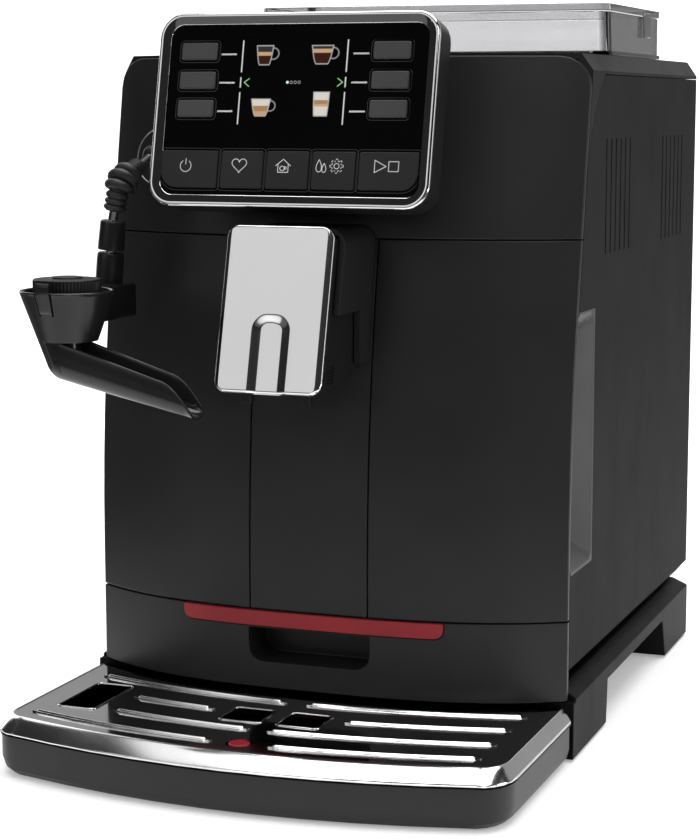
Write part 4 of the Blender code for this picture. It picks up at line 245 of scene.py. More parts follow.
def ramped(tree, value, low, high, to_low=0.0, to_high=1.0):
    """Map a value from one range to another, held at the ends."""
    inputs = {"Value": value, "From Min": low, "From Max": high, "To Min": to_low, "To Max": to_high}
    return add(tree, "ShaderNodeMapRange", inputs, clamp=True).outputs["Result"]


def maths(tree, operation, one, two=0.0):
    """One sum of two numbers or sockets."""
    return add(tree, "ShaderNodeMath", {0: one, 1: two}, operation=operation).outputs["Value"]


def build_grain_group():
    """Grain height and slow tone: fine noise for relief, broad noise for the melt's flow."""
    tree, given, taken = group_tree("moulded_grain", {"Grain": 2600.0, "Flow": 22.0}, ("Height", "Tone"))
    place = coordinates(tree)
    broad = noise(tree, place, given["Flow"], detail=3.0)
    feed(tree, taken, {"Height": noise(tree, place, given["Grain"], detail=1.5, rough=0.6),
                       "Tone": ramped(tree, broad, 0.35, 0.65)})
    return tree


def build_smear_group():
    """Where hands and cloths have passed: stretched noise, 0 for clean and 1 for dulled."""
    tree, given, taken = group_tree("wiped_smears", {"Size": 30.0}, ("Mask",))
    stretch = add(tree, "ShaderNodeMapping", {"Vector": coordinates(tree), "Rotation": (0.3, 0.5, 0.4),
                                              "Scale": (1.0, 1.0, 0.35)})
    marks = noise(tree, stretch.outputs["Vector"], given["Size"], detail=4.0, rough=0.62)
    feed(tree, taken, {"Mask": ramped(tree, marks, 0.50, 0.72)})
    return tree


def build_dust_group():
    """Fine dust that settles on faces that look up: the normal's rise times a speckled noise."""
    tree, given, taken = group_tree("settled_dust", {"Speck": 900.0}, ("Mask",))
    rise = axes(tree, add(tree, "ShaderNodeNewGeometry").outputs["Normal"])["Z"]
    specks = noise(tree, coordinates(tree), given["Speck"])
    feed(tree, taken, {"Mask": maths(tree, "MULTIPLY", ramped(tree, rise, 0.75, 1.0),
                                     ramped(tree, specks, 0.45, 0.75))})
    return tree


GRAIN, SMEARS, DUST = build_grain_group(), build_smear_group(), build_dust_group()
print("shared groups:", [tree.name for tree in (GRAIN, SMEARS, DUST)])

# %% [markdown]
# ## Materials
# One function makes every opaque finish. It mixes two near tones by the flow of the melt, adds
# a trace of dust on top faces, varies the roughness by the smears, and gives the grain a real
# height. The numbers decide whether the result is satin plastic, rubber or polished metal.

# %% One maker for the opaque finishes


def from_group(tree, group, **values):
    """The outputs of a shared group, placed with this material's own numbers."""
    return add(tree, "ShaderNodeGroup", values, node_tree=group).outputs


def mixed(tree, mask, one, two):
    """Colour one where the mask is 0, colour two where it is 1; either may be a socket."""
    one, two = ((*colour, 1.0) if isinstance(colour, tuple) else colour for colour in (one, two))
    return add(tree, "ShaderNodeMix", {"Factor": mask, 6: one, 7: two}, data_type="RGBA").outputs[2]


def toned(tree, mask, colour, change):
    """A colour that is a little darker where the mask is 0 and a little lighter where it is 1."""
    darker, lighter = (tuple(part * factor for part in colour) for factor in (1 - change, 1 + change))
    return mixed(tree, mask, darker, lighter)


def new_material(name):
    """An empty material, its node tree and its shader."""
    material = bpy.data.materials.new(name)
    material.use_nodes = True
    return material, material.node_tree, material.node_tree.nodes["Principled BSDF"]


def make_finish(name, colour, roughness, grain=2600.0, relief=0.00002, spread=0.05, metallic=0.0,
                tone=0.10, dust=0.05, flow=22.0, specular=0.5):
    """A Principled material whose colour, roughness and relief all come from noise groups."""
    finish, tree, shader = new_material(name)
    colour = colour if isinstance(colour, tuple) else (colour,) * 3
    grains = from_group(tree, GRAIN, Grain=grain, Flow=flow)
    smears = from_group(tree, SMEARS, Size=30.0)
    base = toned(tree, grains["Tone"], colour, tone)
    if dust:
        veil = maths(tree, "MULTIPLY", from_group(tree, DUST, Speck=900.0)["Mask"], dust)
        base = mixed(tree, veil, base, (0.45, 0.44, 0.42))
    rough = ramped(tree, smears["Mask"], 0.0, 1.0, roughness, min(roughness + spread, 1.0))
    feed(tree, shader, {"Base Color": base, "Roughness": rough, "Metallic": metallic,
                        "Specular IOR Level": specular})
    if relief:
        bump = add(tree, "ShaderNodeBump", {"Strength": 0.6, "Distance": relief, "Height": grains["Height"]})
        feed(tree, shader, {"Normal": bump.outputs["Normal"]})
    return finish


def make_polished(name, colour, roughness, spread=0.05, tone=0.03, **more):
    """A clean metal without relief."""
    return make_finish(name, colour, roughness, relief=0, spread=spread, metallic=1.0, tone=tone, dust=0.0,
                       **more)


CHARCOAL = make_finish("charcoal_satin", (0.0112, 0.0112, 0.0114), 0.40, 2400, 0.00005, dust=0.02,
                       specular=0.34)
SIDE = make_finish("side_satin", (0.0190, 0.0190, 0.0193), 0.55, 1900, 0.00006, dust=0.02, specular=0.02)
BLACK = make_finish("black_moulding", 0.0075, 0.42, 2600, 0.00003, dust=0.02, specular=0.25)
PLINTH = make_finish("plinth_moulding", 0.0024, 0.50, 1900, 0.00005, dust=0.01, specular=0.08)
CHEEK = make_finish("top_satin", (0.0085, 0.0085, 0.0087), 0.48, 2400, 0.00005, dust=0.01, specular=0.12)
GLOSS = make_finish("gloss_black", 0.0032, 0.08, 300, 0, tone=0.3)
FACE = make_finish("panel_black", (0.0010, 0.0010, 0.0011), 0.08, 300, 0, tone=0.2, dust=0.0, specular=0.02)
KEY = make_finish("key_satin", (0.036, 0.036, 0.037), 0.36, 3800, dust=0.0)
CHROME = make_polished("chrome_plate", (0.80, 0.80, 0.81), 0.05)
STEEL = make_polished("mirror_steel", 0.72, 0.07, 0.06, 0.05)
DULL = make_finish("dull_steel", 0.42, 0.34, 900, 0.00003, metallic=1.0)
RED = make_finish("red_moulding", (0.26, 0.012, 0.018), 0.34, 3000, dust=0.02, specular=0.3)
RUBBER = make_finish("matt_rubber", 0.016, 0.66, 1600, 0.00006, specular=0.35)
CERAMIC = make_finish("ceramic", (0.75, 0.74, 0.71), 0.38, 900)
BOARD = make_finish("circuit_board", (0.020, 0.100, 0.045), 0.48, 500, 0.00005, tone=0.2)
COPPER = make_finish("copper_coil", (0.55, 0.25, 0.15), 0.32, 900, 0.00004, metallic=1.0)
print("finishes:", len(bpy.data.materials))

# %% [markdown]
# Two kinds of finish let light through: the smoked hopper with its darker lid, and the clear
# water tank. They keep a plain transmission, so only the tint and the roughness vary. The
# hopper's end walls are seen through their whole length, so they get a painted shade: their
# tint is darker on faces that look along X.

# %% See-through finishes


def make_clear(name, colour, roughness, edge_on_shade=None):
    """Tinted see-through plastic, blurred by wipe marks, with a painted shade: a darker tint on faces that look
    along X.
    """
    finish, tree, shader = new_material(name)
    base = toned(tree, from_group(tree, GRAIN, Grain=700.0, Flow=14.0)["Tone"], colour, 0.03)
    # Painted shade: where the normal looks along X, the tint is darkened by the given factor.
    if edge_on_shade:
        reach = maths(tree, "ABSOLUTE", axes(tree, coordinates(tree, "Normal"))["X"])
        dark = tuple(part * edge_on_shade for part in colour)
        base = mixed(tree, ramped(tree, reach, 0.35, 0.65), base, dark)
    smears = from_group(tree, SMEARS, Size=24.0)
    rough = ramped(tree, smears["Mask"], 0.0, 1.0, roughness, roughness + 0.04)
    feed(tree, shader, {"Base Color": base, "Roughness": rough, "Transmission Weight": 1.0, "IOR": 1.46})
    return finish


SMOKE = make_clear("smoked_clear", (0.70, 0.70, 0.71), 0.03, 0.17)
LID_SMOKE = make_clear("smoked_lid", (0.24, 0.24, 0.25), 0.03, 0.60)
CLEAR = make_clear("tank_clear", (0.62, 0.66, 0.70), 0.06)
print("smoked and clear plastic ready")

# %% [markdown]
# ## Softer edges for the solids that keep their shape
# Real mouldings have no knife edges. A CAD node comes in as loose triangles and its mesh must
# not be touched, so the rounding is done by modifiers: the triangles are welded and made smooth
# up to an angle by a small geometry group, flat areas are merged, edges get a narrow bevel, and
# the normals are weighted by area so that flat faces stay flat.

# %% Soft edges


def build_softening():
    """Geometry group: weld loose triangles, drop stored normals, smooth edges under an angle."""
    tree = bpy.data.node_groups.new("weld_and_smooth", "GeometryNodeTree")
    socket = tree.interface.new_socket
    socket("Geometry", in_out="INPUT", socket_type="NodeSocketGeometry")
    socket("Angle", in_out="INPUT", socket_type="NodeSocketFloat").default_value = math.radians(30)
    socket("Geometry", in_out="OUTPUT", socket_type="NodeSocketGeometry")
    given = add(tree, "NodeGroupInput").outputs
    weld = add(tree, "GeometryNodeMergeByDistance", {"Geometry": given["Geometry"], "Distance": 2e-6})
    drop = add(tree, "GeometryNodeRemoveAttribute", {"Geometry": weld.outputs[0], "Name": "custom_normal"})
    faces = add(tree, "GeometryNodeSetShadeSmooth", {"Geometry": drop.outputs[0]}, domain="FACE")
    bend = add(tree, "GeometryNodeInputMeshEdgeAngle").outputs["Unsigned Angle"]
    sharp = add(tree, "FunctionNodeCompare", {"A": bend, "B": given["Angle"]}, data_type="FLOAT",
                operation="GREATER_THAN")
    edges = add(tree, "GeometryNodeSetShadeSmooth", {"Geometry": faces.outputs[0], "Shade Smooth": False,
                                                     "Selection": sharp.outputs["Result"]}, domain="EDGE")
    add(tree, "NodeGroupOutput", {"Geometry": edges.outputs[0]})
    return tree


SOFTENING = build_softening()


def soften(name, finish, width):
    """Give a CAD node its finish, welded faces, a narrow bevel and even normals."""
    node = nodes[name]
    node.data.materials.clear()
    node.data.materials.append(finish)
    steps = [("weld", "NODES", {"node_group": SOFTENING}),
             ("merge flat", "DECIMATE", {"decimate_type": "DISSOLVE", "angle_limit": math.radians(0.6)}),
             ("bevel", "BEVEL", {"width": width, "segments": 2, "limit_method": "ANGLE",
                                 "angle_limit": math.radians(30), "harden_normals": False}),
             ("smooth", "NODES", {"node_group": SOFTENING}),
             ("even normals", "WEIGHTED_NORMAL", {"keep_sharp": True})]
    for title, kind, values in steps:
        if title != "bevel" or width:
            made = node.modifiers.new(title, kind)
            for key, value in values.items():
                setattr(made, key, value)


KEPT = (
    (PLINTH, 0.0012, "base_plinth"), (FACE, 0.0, "control_panel_face"), (GLOSS, 0.0, "display_module"),
    (DULL, 0.0008, "boiler grinder_motor"), (COPPER, 0.0008, "pump"), (BLACK, 0.0008, "brew_group"),
    (BLACK, 0.0004, "control_panel_housing dregs_box grind_knob grinder_housing inner_chassis"),
    (BLACK, 0.0004, "power_switch spout_carriage"),
    (BLACK, 0.0003, "power_inlet spout_nozzle_left spout_nozzle_right"),
    (CHARCOAL, 0.0005, "dreg_drawer drip_tray front_centre_column front_left_cover service_door spout_guide"),
    (CHARCOAL, 0.0004, "rear_panel tank_lid wand_escutcheon"), (CHARCOAL, 0.0006, "front_fascia"),
    (SIDE, 0.0004, "side_panel_left side_panel_right"), (CHEEK, 0.0008, "top_cover"),
    (STEEL, 0.0004, "drip_grille"), (RED, 0.0004, "drip_float drawer_accent"),
    (SMOKE, 0.0004, "bean_hopper"), (LID_SMOKE, 0.0004, "hopper_lid"), (CLEAR, 0.0004, "water_tank"),
    (BOARD, 0.0002, "key_board"), (CERAMIC, 0.0002, "lower_burr"),
    (RUBBER, 0.0003, "rubber_foot_1 rubber_foot_2 rubber_foot_3 rubber_foot_4"),
)
kept_names = []
for finish, width, names in KEPT:
    for name in names.split():
        soften(name, finish, width)
        kept_names.append(name)
print("softened solids:", len(kept_names), "others:", sorted(set(nodes) - set(kept_names)))

# %% [markdown]
# ## Rounded plates as height fields
# The spout's cover, the keys and the display are all plates with a rounded outline and a face
# that is not quite flat. They could be boxes with bevels, but then a channel or a painted picture
# has no points to live on. Here each plate is a grid over its outline with a height at every
# point, so that rounding, channel and print are plain formulas of two numbers.

# %% Distance, outline and plate


def inside_distance(x, up, low, high, radii):
    """Distance inwards from a rounded rectangle: corner radius minus the length past its centre."""
    middle_x, middle_up = (low[0] + high[0]) / 2, (low[1] + high[1]) / 2
    corner = np.where(up < middle_up, np.where(x < middle_x, radii[0], radii[1]),
                      np.where(x < middle_x, radii[3], radii[2]))
    past_x = np.abs(x - middle_x) - (high[0] - low[0]) / 2 + corner
    past_up = np.abs(up - middle_up) - (high[1] - low[1]) / 2 + corner
    length = np.hypot(np.maximum(past_x, 0), np.maximum(past_up, 0))
    return corner - length - np.minimum(np.maximum(past_x, past_up), 0)


def rim_rounding(distance, rounding):
    """A quarter circle at the very edge, from minus the rounding up to level 0."""
    inside = np.clip(distance, 0, rounding)
    return np.sqrt(np.maximum(rounding**2 - (rounding - inside) ** 2, 0)) - rounding


def edge_spaced(low, high, step, edges):
    """Numbers from low to high: close together at both ends, then one step apart."""
    edges = np.asarray(edges, float)
    count = max(2, int(round((high - low - 2 * edges[-1]) / step)))
    middle = np.linspace(low + edges[-1], high - edges[-1], count + 1)
    return np.concatenate([low + edges[:-1], middle, (high - edges[:-1])[::-1]])


def plate_grid(low, high, radii, step, edges, core):
    """A grid over a rounded rectangle; columns inside the core keep their X in every row."""
    x, up = np.meshgrid(edge_spaced(low[0], high[0], step, edges), edge_spaced(low[1], high[1], step, edges))
    for side, edge, bottom, top in ((-1, low[0], radii[0], radii[3]), (1, high[0], radii[1], radii[2])):
        short = np.maximum(bottom - (up - low[1]), 0)
        drawn = bottom - np.sqrt(np.maximum(bottom**2 - short**2, 0))
        short = np.maximum(top - (high[1] - up), 0)
        drawn = drawn + top - np.sqrt(np.maximum(top**2 - short**2, 0))
        kept = (low[0] + high[0]) / 2 + side * core
        x = x - side * np.clip((x - kept) / (edge - kept), 0, 1) * drawn
    return x, up


def make_plate(name, plane, x, up, level, back, finish, body, stands_for=(), colours=None, angle=38):
    """A grid with a height at each point, closed by a skirt and one face behind it."""
    rows, columns = x.shape
    front = np.stack([x, up, level], axis=-1).reshape(-1, 3)
    index = np.arange(rows * columns).reshape(rows, columns)
    loop = np.concatenate([index[0, :-1], index[:-1, -1], index[-1, :0:-1], index[:0:-1, 0]])
    behind = front[loop].copy()
    behind[:, 2] = back
    low = np.arange(len(loop)) + len(front)
    skirt = np.stack([loop, np.roll(loop, -1), np.roll(low, -1), low], axis=1)
    points = on_plane(plane, np.concatenate([front, behind]))
    surface = points, [grid_faces(rows, columns), skirt, low[None, ::-1]]
    piece = make_piece(name, surface, finish, body, stands_for, angle)
    if colours is not None:
        paint(piece.data, plane, colours)
    return piece


def paint(mesh, plane, colours):
    """Store a colour and a strength at every point, from its place (x, up) on the plane."""
    places = np.empty(len(mesh.vertices) * 3, np.float32)
    mesh.vertices.foreach_get("co", places)
    foot, right, rise, _ = plane
    flat = places.reshape(-1, 3) - foot
    picked = colours(flat @ right, flat @ rise)
    layer = mesh.color_attributes.new("print", "FLOAT_COLOR", "POINT")
    layer.data.foreach_set("color", picked.astype(np.float32).ravel())


print("plate helpers ready")

# %% [markdown]
# ## The spout's cover
# On the real machine this is a chrome-plated moulding, with a satin face, a rounded edge and a
# tapered channel that opens at the bottom. A boolean cut would give a channel with upright walls.
# The photograph shows wide sloping ones, so the height falls in a straight ramp inside an arch.

# %% Spout cover


def soft_ramp(value, length):
    """0 to 1 over a length, straight in the middle and eased at both ends."""
    t = np.clip(value / length, 0, 1)
    return 0.72 * t + 0.28 * (3 * t**2 - 2 * t**3)


def make_spout_cover():
    """Level = quarter circle at the very edge + straight chamfer - the channel's ramp in an arch."""
    half, tall, radii, chamfer, fall, channel = 0.0280, 0.0829, (0.0065,) * 4, 0.0027, 0.0017, 0.0023
    low, high = (-half, 0.0), (half, tall)
    near = np.array([0, 3, 10, 22, 40, 60, 120, 190, 250, 270, 290, 330]) * 1e-5
    x, up = plate_grid(low, high, radii, 0.0005, near, 0.0125)
    distance = inside_distance(x, up, low, high, radii)
    share = np.minimum((half - np.abs(x)) / chamfer, distance / 0.0010)
    level = rim_rounding(distance, 0.0006) - fall * (1 - np.clip(share, 0, 1))
    depth = inside_distance(x, up, (-0.0100, -0.050), (0.0100, 0.0388), (0.001, 0.001, 0.0078, 0.0078))
    level = level - channel * soft_ramp(depth, 0.0037 + 0.0016 * np.clip(x / 0.006, 0, 1))
    make_plate("spout_cover_skin", SPOUT, x, up, level, -0.0034, SATIN_CHROME, "spout",
               ("spout_cover",), angle=60)


SATIN_CHROME = make_polished("satin_chrome", (0.78, 0.78, 0.79), 0.13, 0.04, 0.02, grain=500, flow=12.0)
make_spout_cover()

# %% [markdown]
# ## The chrome frame of the control panel
# The frame is one ring: a rounded outer edge, a narrow ridge, a wide bevel, and a second small
# rounding down to the glossy face. It could be bevelled solids, but the two thin lines of light
# in the photograph sit exactly on the roundings, so the whole profile is written down and swept
# round the panel's outline.

# %% Panel frame


def rounded_line(low, high, radii, arc=12):
    """Points and outward normals of a rounded rectangle, anticlockwise from the lower left."""
    corners = (((low[0], low[1]), (1, 1), math.pi), ((high[0], low[1]), (-1, 1), 1.5 * math.pi),
               ((high[0], high[1]), (-1, -1), 0.0), ((low[0], high[1]), (1, -1), 0.5 * math.pi))
    places, normals = [], []
    for radius, (corner, inward, start) in zip(radii, corners):
        turn = start + np.linspace(0, math.pi / 2, arc + 1)
        outward = np.stack([np.cos(turn), np.sin(turn)], axis=1)
        places.append(np.array(corner) + radius * np.array(inward) + radius * outward)
        normals.append(outward)
    return np.concatenate(places), np.concatenate(normals)


def swept_ring(plane, line, profile):
    """Rings of points: the line moved inwards and set at a level, for each profile point."""
    places, normals = line
    return on_plane(plane, np.array([at_level(places - inset * normals, level) for inset, level in profile]))


def quarter(centre, radius, start, end, count):
    """Points on an arc about a centre, between two angles in degrees."""
    turn = np.radians(np.linspace(start, end, count))
    return [(centre[0] + radius * math.cos(a), centre[1] + radius * math.sin(a)) for a in turn]


def make_bezel():
    """Profile of (inset, level): round outer edge, short ridge, bevel, small inner rounding."""
    profile = [(0.0006, -0.0020), (0.0001, -0.0019)] + quarter((0.0014, -0.0014), 0.0014, 180, 90, 9)
    profile += quarter((0.0018, -0.0006), 0.0006, 90, 70, 4) + quarter((0.0053, -0.0018), 0.0006, 70, 10, 6)
    line = rounded_line((-0.0737, 0.0), (0.0737, 0.0965), (0.0125,) * 4, arc=24)
    surface = skin(swept_ring(PANEL, line, profile + [(0.0060, -0.0024)]), close_rows=True)
    make_piece("panel_frame", surface, CHROME, "housing", ("control_panel_bezel",))


make_bezel()

# %% [markdown]
# ## Drawing with distances
# The keys carry pad-printed symbols and the display shows small pictures of drinks. Both could be
# flat shapes laid on top. They are painted instead: every point of the plate's fine grid gets a
# colour, worked out from its distance to strokes, rings and filled outlines. The symbols are
# plain signs drawn for this lesson, and no words are written. All lengths here are in mm.

# %% Strokes, rings and fills
LINE = 0.42


def stroke(x, up, line, width=LINE):
    """Distance to a polyline minus half its width: below zero on the stroke."""
    line = np.asarray(line, float)
    best = np.full(x.shape, 1e9)
    for start, end in zip(line[:-1], line[1:]):
        along = end - start
        share = ((x - start[0]) * along[0] + (up - start[1]) * along[1]) / max(along @ along, 1e-12)
        share = np.clip(share, 0, 1)
        best = np.minimum(best, np.hypot(x - start[0] - share * along[0], up - start[1] - share * along[1]))
    return best - width / 2


def ring(x, up, centre, radius):
    """Distance to a circle minus half the stroke's width."""
    return np.abs(np.hypot(x - centre[0], up - centre[1]) - radius) - LINE / 2


def cover_of(distance, soft):
    """Turn a distance into ink: 1 inside, 0 outside, with a soft edge."""
    return np.clip(0.5 - distance / soft, 0, 1)


def lay(print_so_far, colour, ink):
    """Paint a colour over what is there: colour and strength both move towards the new ink."""
    ink = ink[..., None]
    return print_so_far * (1 - ink) + np.array([*colour, 1.0]) * ink


def curve(function, count=40):
    """Points (x, y) of a closed curve over one turn."""
    return np.stack(function(np.linspace(0, 2 * math.pi, count)), axis=1)


def oval(centre_x, centre_y, half_x, half_y, count):
    return curve(lambda t: (centre_x + half_x * np.cos(t), centre_y + half_y * np.sin(t)), count)


def drop_line(middle_x, middle_y, size):
    """A drop: a circle whose upper half is drawn out to a point."""
    return curve(lambda t: (middle_x + size * 0.62 * np.sin(t) * np.sin(t / 2),
                            middle_y + size * np.cos(t)), 30)


def power_sign(x, up):
    """A ring with a gap at the top and a bar in the gap."""
    gap = np.abs(np.degrees(np.arctan2(x, up))) < 32
    return np.minimum(np.where(gap, 1e9, ring(x, up, (0, 0), 2.9)), stroke(x, up, ((0, 0.8), (0, 3.6))))


def heart_sign(x, up):
    return stroke(x, up, curve(lambda t: (
        3.9 * np.sin(t) ** 3,
        3.1 * np.cos(t) - 1.2 * np.cos(2 * t) - 0.48 * np.cos(3 * t) - 0.24 * np.cos(4 * t) + 0.2)))


def home_sign(x, up):
    """A roof and walls with a cup inside."""
    roof, wall = ((-3.9, 0.1), (0, 3.3), (3.9, 0.1)), ((-2.7, 0.9), (-2.7, -3.1), (2.7, -3.1), (2.7, 0.9))
    bowl, handle = oval(-0.4, -1.2, 1.25, 1.1, 24), oval(1.2, -1.0, 0.6, 0.6, 16)
    return np.minimum.reduce([stroke(x, up, line) for line in (roof, wall, bowl, handle)])


def care_sign(x, up):
    """Two drops and a gear, whose radius follows eight clipped waves."""
    across, rise = x - 3.9, up - 0.1
    teeth = 2.95 + 0.46 * np.clip(3 * np.cos(8 * np.arctan2(rise, across)), -1, 1)
    drops = [stroke(x, up, drop_line(*drop)) for drop in ((-5.3, 0.2, 3.0), (-2.6, -0.8, 2.2))]
    gear = np.abs(np.hypot(across, rise) - teeth) - LINE / 2
    return np.minimum.reduce(drops + [gear, ring(x, up, (3.9, 0.1), 1.3)])


def start_sign(x, up):
    """A play triangle and a stop box."""
    play = ((-6.2, 3.0), (-0.3, 0.0), (-6.2, -3.0), (-6.2, 3.0))
    box = ((1.0, 2.4), (6.0, 2.4), (6.0, -2.4), (1.0, -2.4), (1.0, 2.4))
    return np.minimum(stroke(x, up, play), stroke(x, up, box))


SIGNS = {
    "power": (power_sign, (-54.5, 20.0)), "favourites": (heart_sign, (-25.7, 20.6)),
    "home": (home_sign, (-2.4, 20.4)), "care": (care_sign, (21.6, 20.5)), "start": (start_sign, (51.2, 20.7)),
}


def sign_colours(word):
    """Colours for one lower key: grey ink on its sign, nothing elsewhere."""
    sign, centre = SIGNS[word]

    def colours(x, up):
        ink = cover_of(sign(1000 * x - centre[0], 1000 * up - centre[1]), 0.26)
        return lay(np.zeros((len(x), 4)), (0.74,) * 3, ink)
    return colours


print("signs:", ", ".join(SIGNS))

# %% [markdown]
# The finish for a printed plate takes the stored colour: where the print is strong, it covers the
# moulding's own colour. A display also shines through its print a little.

# %% Printed finishes


def make_printed(name, colour, roughness, specular, relief=0.00002, glow=0.0):
    """The plain finish with the stored print laid over its colour, and shining if it is lit."""
    finish = make_finish(name, colour, roughness, 3800.0, relief, dust=0.0, specular=specular)
    tree, shader = finish.node_tree, finish.node_tree.nodes["Principled BSDF"]
    stored = add(tree, "ShaderNodeAttribute", attribute_name="print").outputs
    plain = shader.inputs["Base Color"].links[0].from_socket
    feed(tree, shader, {"Base Color": mixed(tree, stored["Alpha"], plain, stored["Color"])})
    if glow:
        feed(tree, shader, {"Emission Color": stored["Color"],
                            "Emission Strength": maths(tree, "MULTIPLY", stored["Alpha"], glow)})
    return finish


KEY_PRINTED = make_printed("key_printed", (0.0150, 0.0150, 0.0157), 0.40, 0.22)
SCREEN = make_printed("screen_glass", (0.0010, 0.0010, 0.0011), 0.08, 0.02, relief=0, glow=0.75)
print("printed finishes ready")

# %% [markdown]
# ## Eleven keys
# Each key is a cap with a slightly domed face and a rounded rim, sprung on the key board. They
# are the same plate with other corners, so one function makes them all from a table of sizes.

# %% Keys
SIDE_ROWS = (0.0773, 0.0628, 0.0487)
LOWER_EDGES = {"power": (-0.0680, -0.0375), "favourites": (-0.0357, -0.0133), "home": (-0.0116, 0.0108),
               "care": (0.0125, 0.0349), "start": (0.0367, 0.0672)}
KEY_CORNER, PANEL_CORNER = 0.0010, 0.0085


def key_table():
    """Name: lower left corner, upper right corner and four corner radii on the panel's plane."""
    table = {}
    for x, word in ((-0.0519, "left"), (0.0495, "right")):
        for number, row in enumerate(SIDE_ROWS, 1):
            low, high = (x - 0.00965, row - 0.0043), (x + 0.00965, row + 0.0043)
            table[f"key_{word}_{number}"] = low, high, (KEY_CORNER,) * 4
    for word, (left, right) in LOWER_EDGES.items():
        below = [PANEL_CORNER if word == end else KEY_CORNER for end in ("power", "start")]
        table["key_" + word] = (left, 0.0092), (right, 0.0278), (*below, KEY_CORNER, KEY_CORNER)
    return table


def make_key(name, low, high, radii):
    """Level = rounded rim + a dome that sinks with the square of the way from the middle."""
    word = name[4:]
    step, core, depth, finish, colours = 0.0010, 0.0006, 0.0007, KEY, None
    if word in SIGNS:
        step, core, depth, finish, colours = 0.00022, 0.0040, 0.0010, KEY_PRINTED, sign_colours(word)
    x, up = plate_grid(low, high, radii, step, np.array([0, 4, 12, 24, 40, 60, 90]) * 1e-5, core)
    across = (x - (low[0] + high[0]) / 2) / (high[0] - low[0])
    rise = (up - (low[1] + high[1]) / 2) / (high[1] - low[1])
    level = rim_rounding(inside_distance(x, up, low, high, radii), 0.0006)
    level = level - 0.0004 * (across**2 + rise**2) - depth
    make_plate(name + "_face", PANEL, x, up, level, -0.0060, finish, name + "_cap", (name,), colours)


KEYS = key_table()
for name, sizes in KEYS.items():
    make_key(name, *sizes)

# %% [markdown]
# The photograph shows a thin bright hook below each key, where light catches the bevel of its
# opening. That bevel is a small ring swept round each key, all eleven in one moulded piece.

# %% Key openings and printed dashes


def make_key_frames():
    """A low ring round each key: outer foot on the face, bevel down towards the key."""
    profile = [(-0.0014, -0.0021), (-0.0013, -0.00192), (-0.0010, -0.00188), (-0.00065, -0.0023),
               (-0.0006, -0.0026)]
    parts = [skin(swept_ring(PANEL, rounded_line(*sizes, arc=8), profile), close_rows=True)
             for sizes in KEYS.values()]
    make_piece("key_frames", joined(parts), GLOSS, "housing")


def make_dashes():
    """Six short bars of ink, 0.05 mm thick, beside the side keys."""
    parts = []
    for x in (-0.0362, 0.0335):
        for up in (0.0759, 0.0617, 0.0475):
            line = rounded_line((x - 0.0041, up - 0.00042), (x + 0.0041, up + 0.00042), (0.0002,) * 4, arc=3)
            parts.append(skin(swept_ring(PANEL, line, [(0, -0.0021), (0, -0.00196), (0.00006, -0.00192)])))
    make_piece("key_dashes", joined(parts), WHITE_INK, "housing")


WHITE_INK = make_finish("white_ink", 0.55, 0.5, 2500, 0, dust=0.0, specular=0.3)
make_key_frames()
make_dashes()

# %% [markdown]
# ## The display
# Behind one glass window the real machine shows four drinks. The picture is worked out point by
# point: each drink is a glass whose width grows with height, filled with layers, with a light rim
# and a ring for its handle.

# %% Display picture
GLASS_RIM, GLASS_BACK, HANDLE = (0.42, 0.40, 0.40), (0.05, 0.05, 0.05), (0.30, 0.28, 0.27)
CREAM, MILK, COFFEE = (0.50, 0.33, 0.18), (0.62, 0.58, 0.52), (0.035, 0.012, 0.007)
TAN, DARK = (0.36, 0.20, 0.10), (0.03, 0.03, 0.035)
DRINKS = (
    ((-21.8, 70.3), (-7.9, 80.4), 0.68, 0.55, ((0.98, DARK), (0.66, CREAM), (0.48, COFFEE))),
    ((7.3, 70.6), (22.6, 80.3), 0.78, 0.50, ((0.98, DARK), (0.80, CREAM), (0.60, COFFEE))),
    ((-22.6, 44.9), (-8.2, 53.9), 0.74, 0.50, ((1.0, MILK), (0.60, TAN), (0.30, CREAM))),
    ((10.0, 45.0), (18.8, 57.3), 1.0, 0.80, ((1.0, MILK), (0.66, TAN), (0.50, CREAM), (0.40, MILK))),
)


def glass_of(x, up, low, high, body, foot, layers):
    """Ink layers for a filled glass: half width = top half width times (foot + rest * t^0.55)."""
    picture = np.zeros((len(x), 4))
    right, tall = low[0] + body * (high[0] - low[0]), high[1] - low[1]
    middle, half = (low[0] + right) / 2, (right - low[0]) / 2
    t = np.clip((up - low[1]) / tall, 0, 1)
    wall = np.abs(x - middle) - half * (foot + (1 - foot) * t**0.55)
    wall = np.maximum(wall, np.maximum(low[1] - up, up - high[1]))
    if body < 0.95:
        across, rise = (x - right + 0.3) / 1.05, up - (low[1] + high[1]) / 2 - 0.8
        grip = np.abs(np.hypot(across, rise) - 0.28 * tall) - 0.35
        picture = lay(picture, HANDLE, cover_of(grip, 0.4))
        picture = lay(picture, GLASS_BACK, cover_of(grip + 0.45, 0.3))
    picture = lay(picture, GLASS_RIM, cover_of(wall, 0.35))
    filled = np.maximum(wall + 0.55, low[1] + 0.6 - up)
    for level, colour in layers:
        picture = lay(picture, colour, cover_of(np.maximum(filled, up - low[1] - level * tall), 0.35))
    return picture


def over(below, above):
    """Lay one picture on another by its strength."""
    ink = above[..., 3:]
    shade = np.where(ink > 0, above[..., :3] / np.maximum(ink, 1e-6), 0)
    top = np.concatenate([np.clip(shade, 0, 1), np.ones_like(ink)], axis=-1)
    return below * (1 - ink) + top * ink


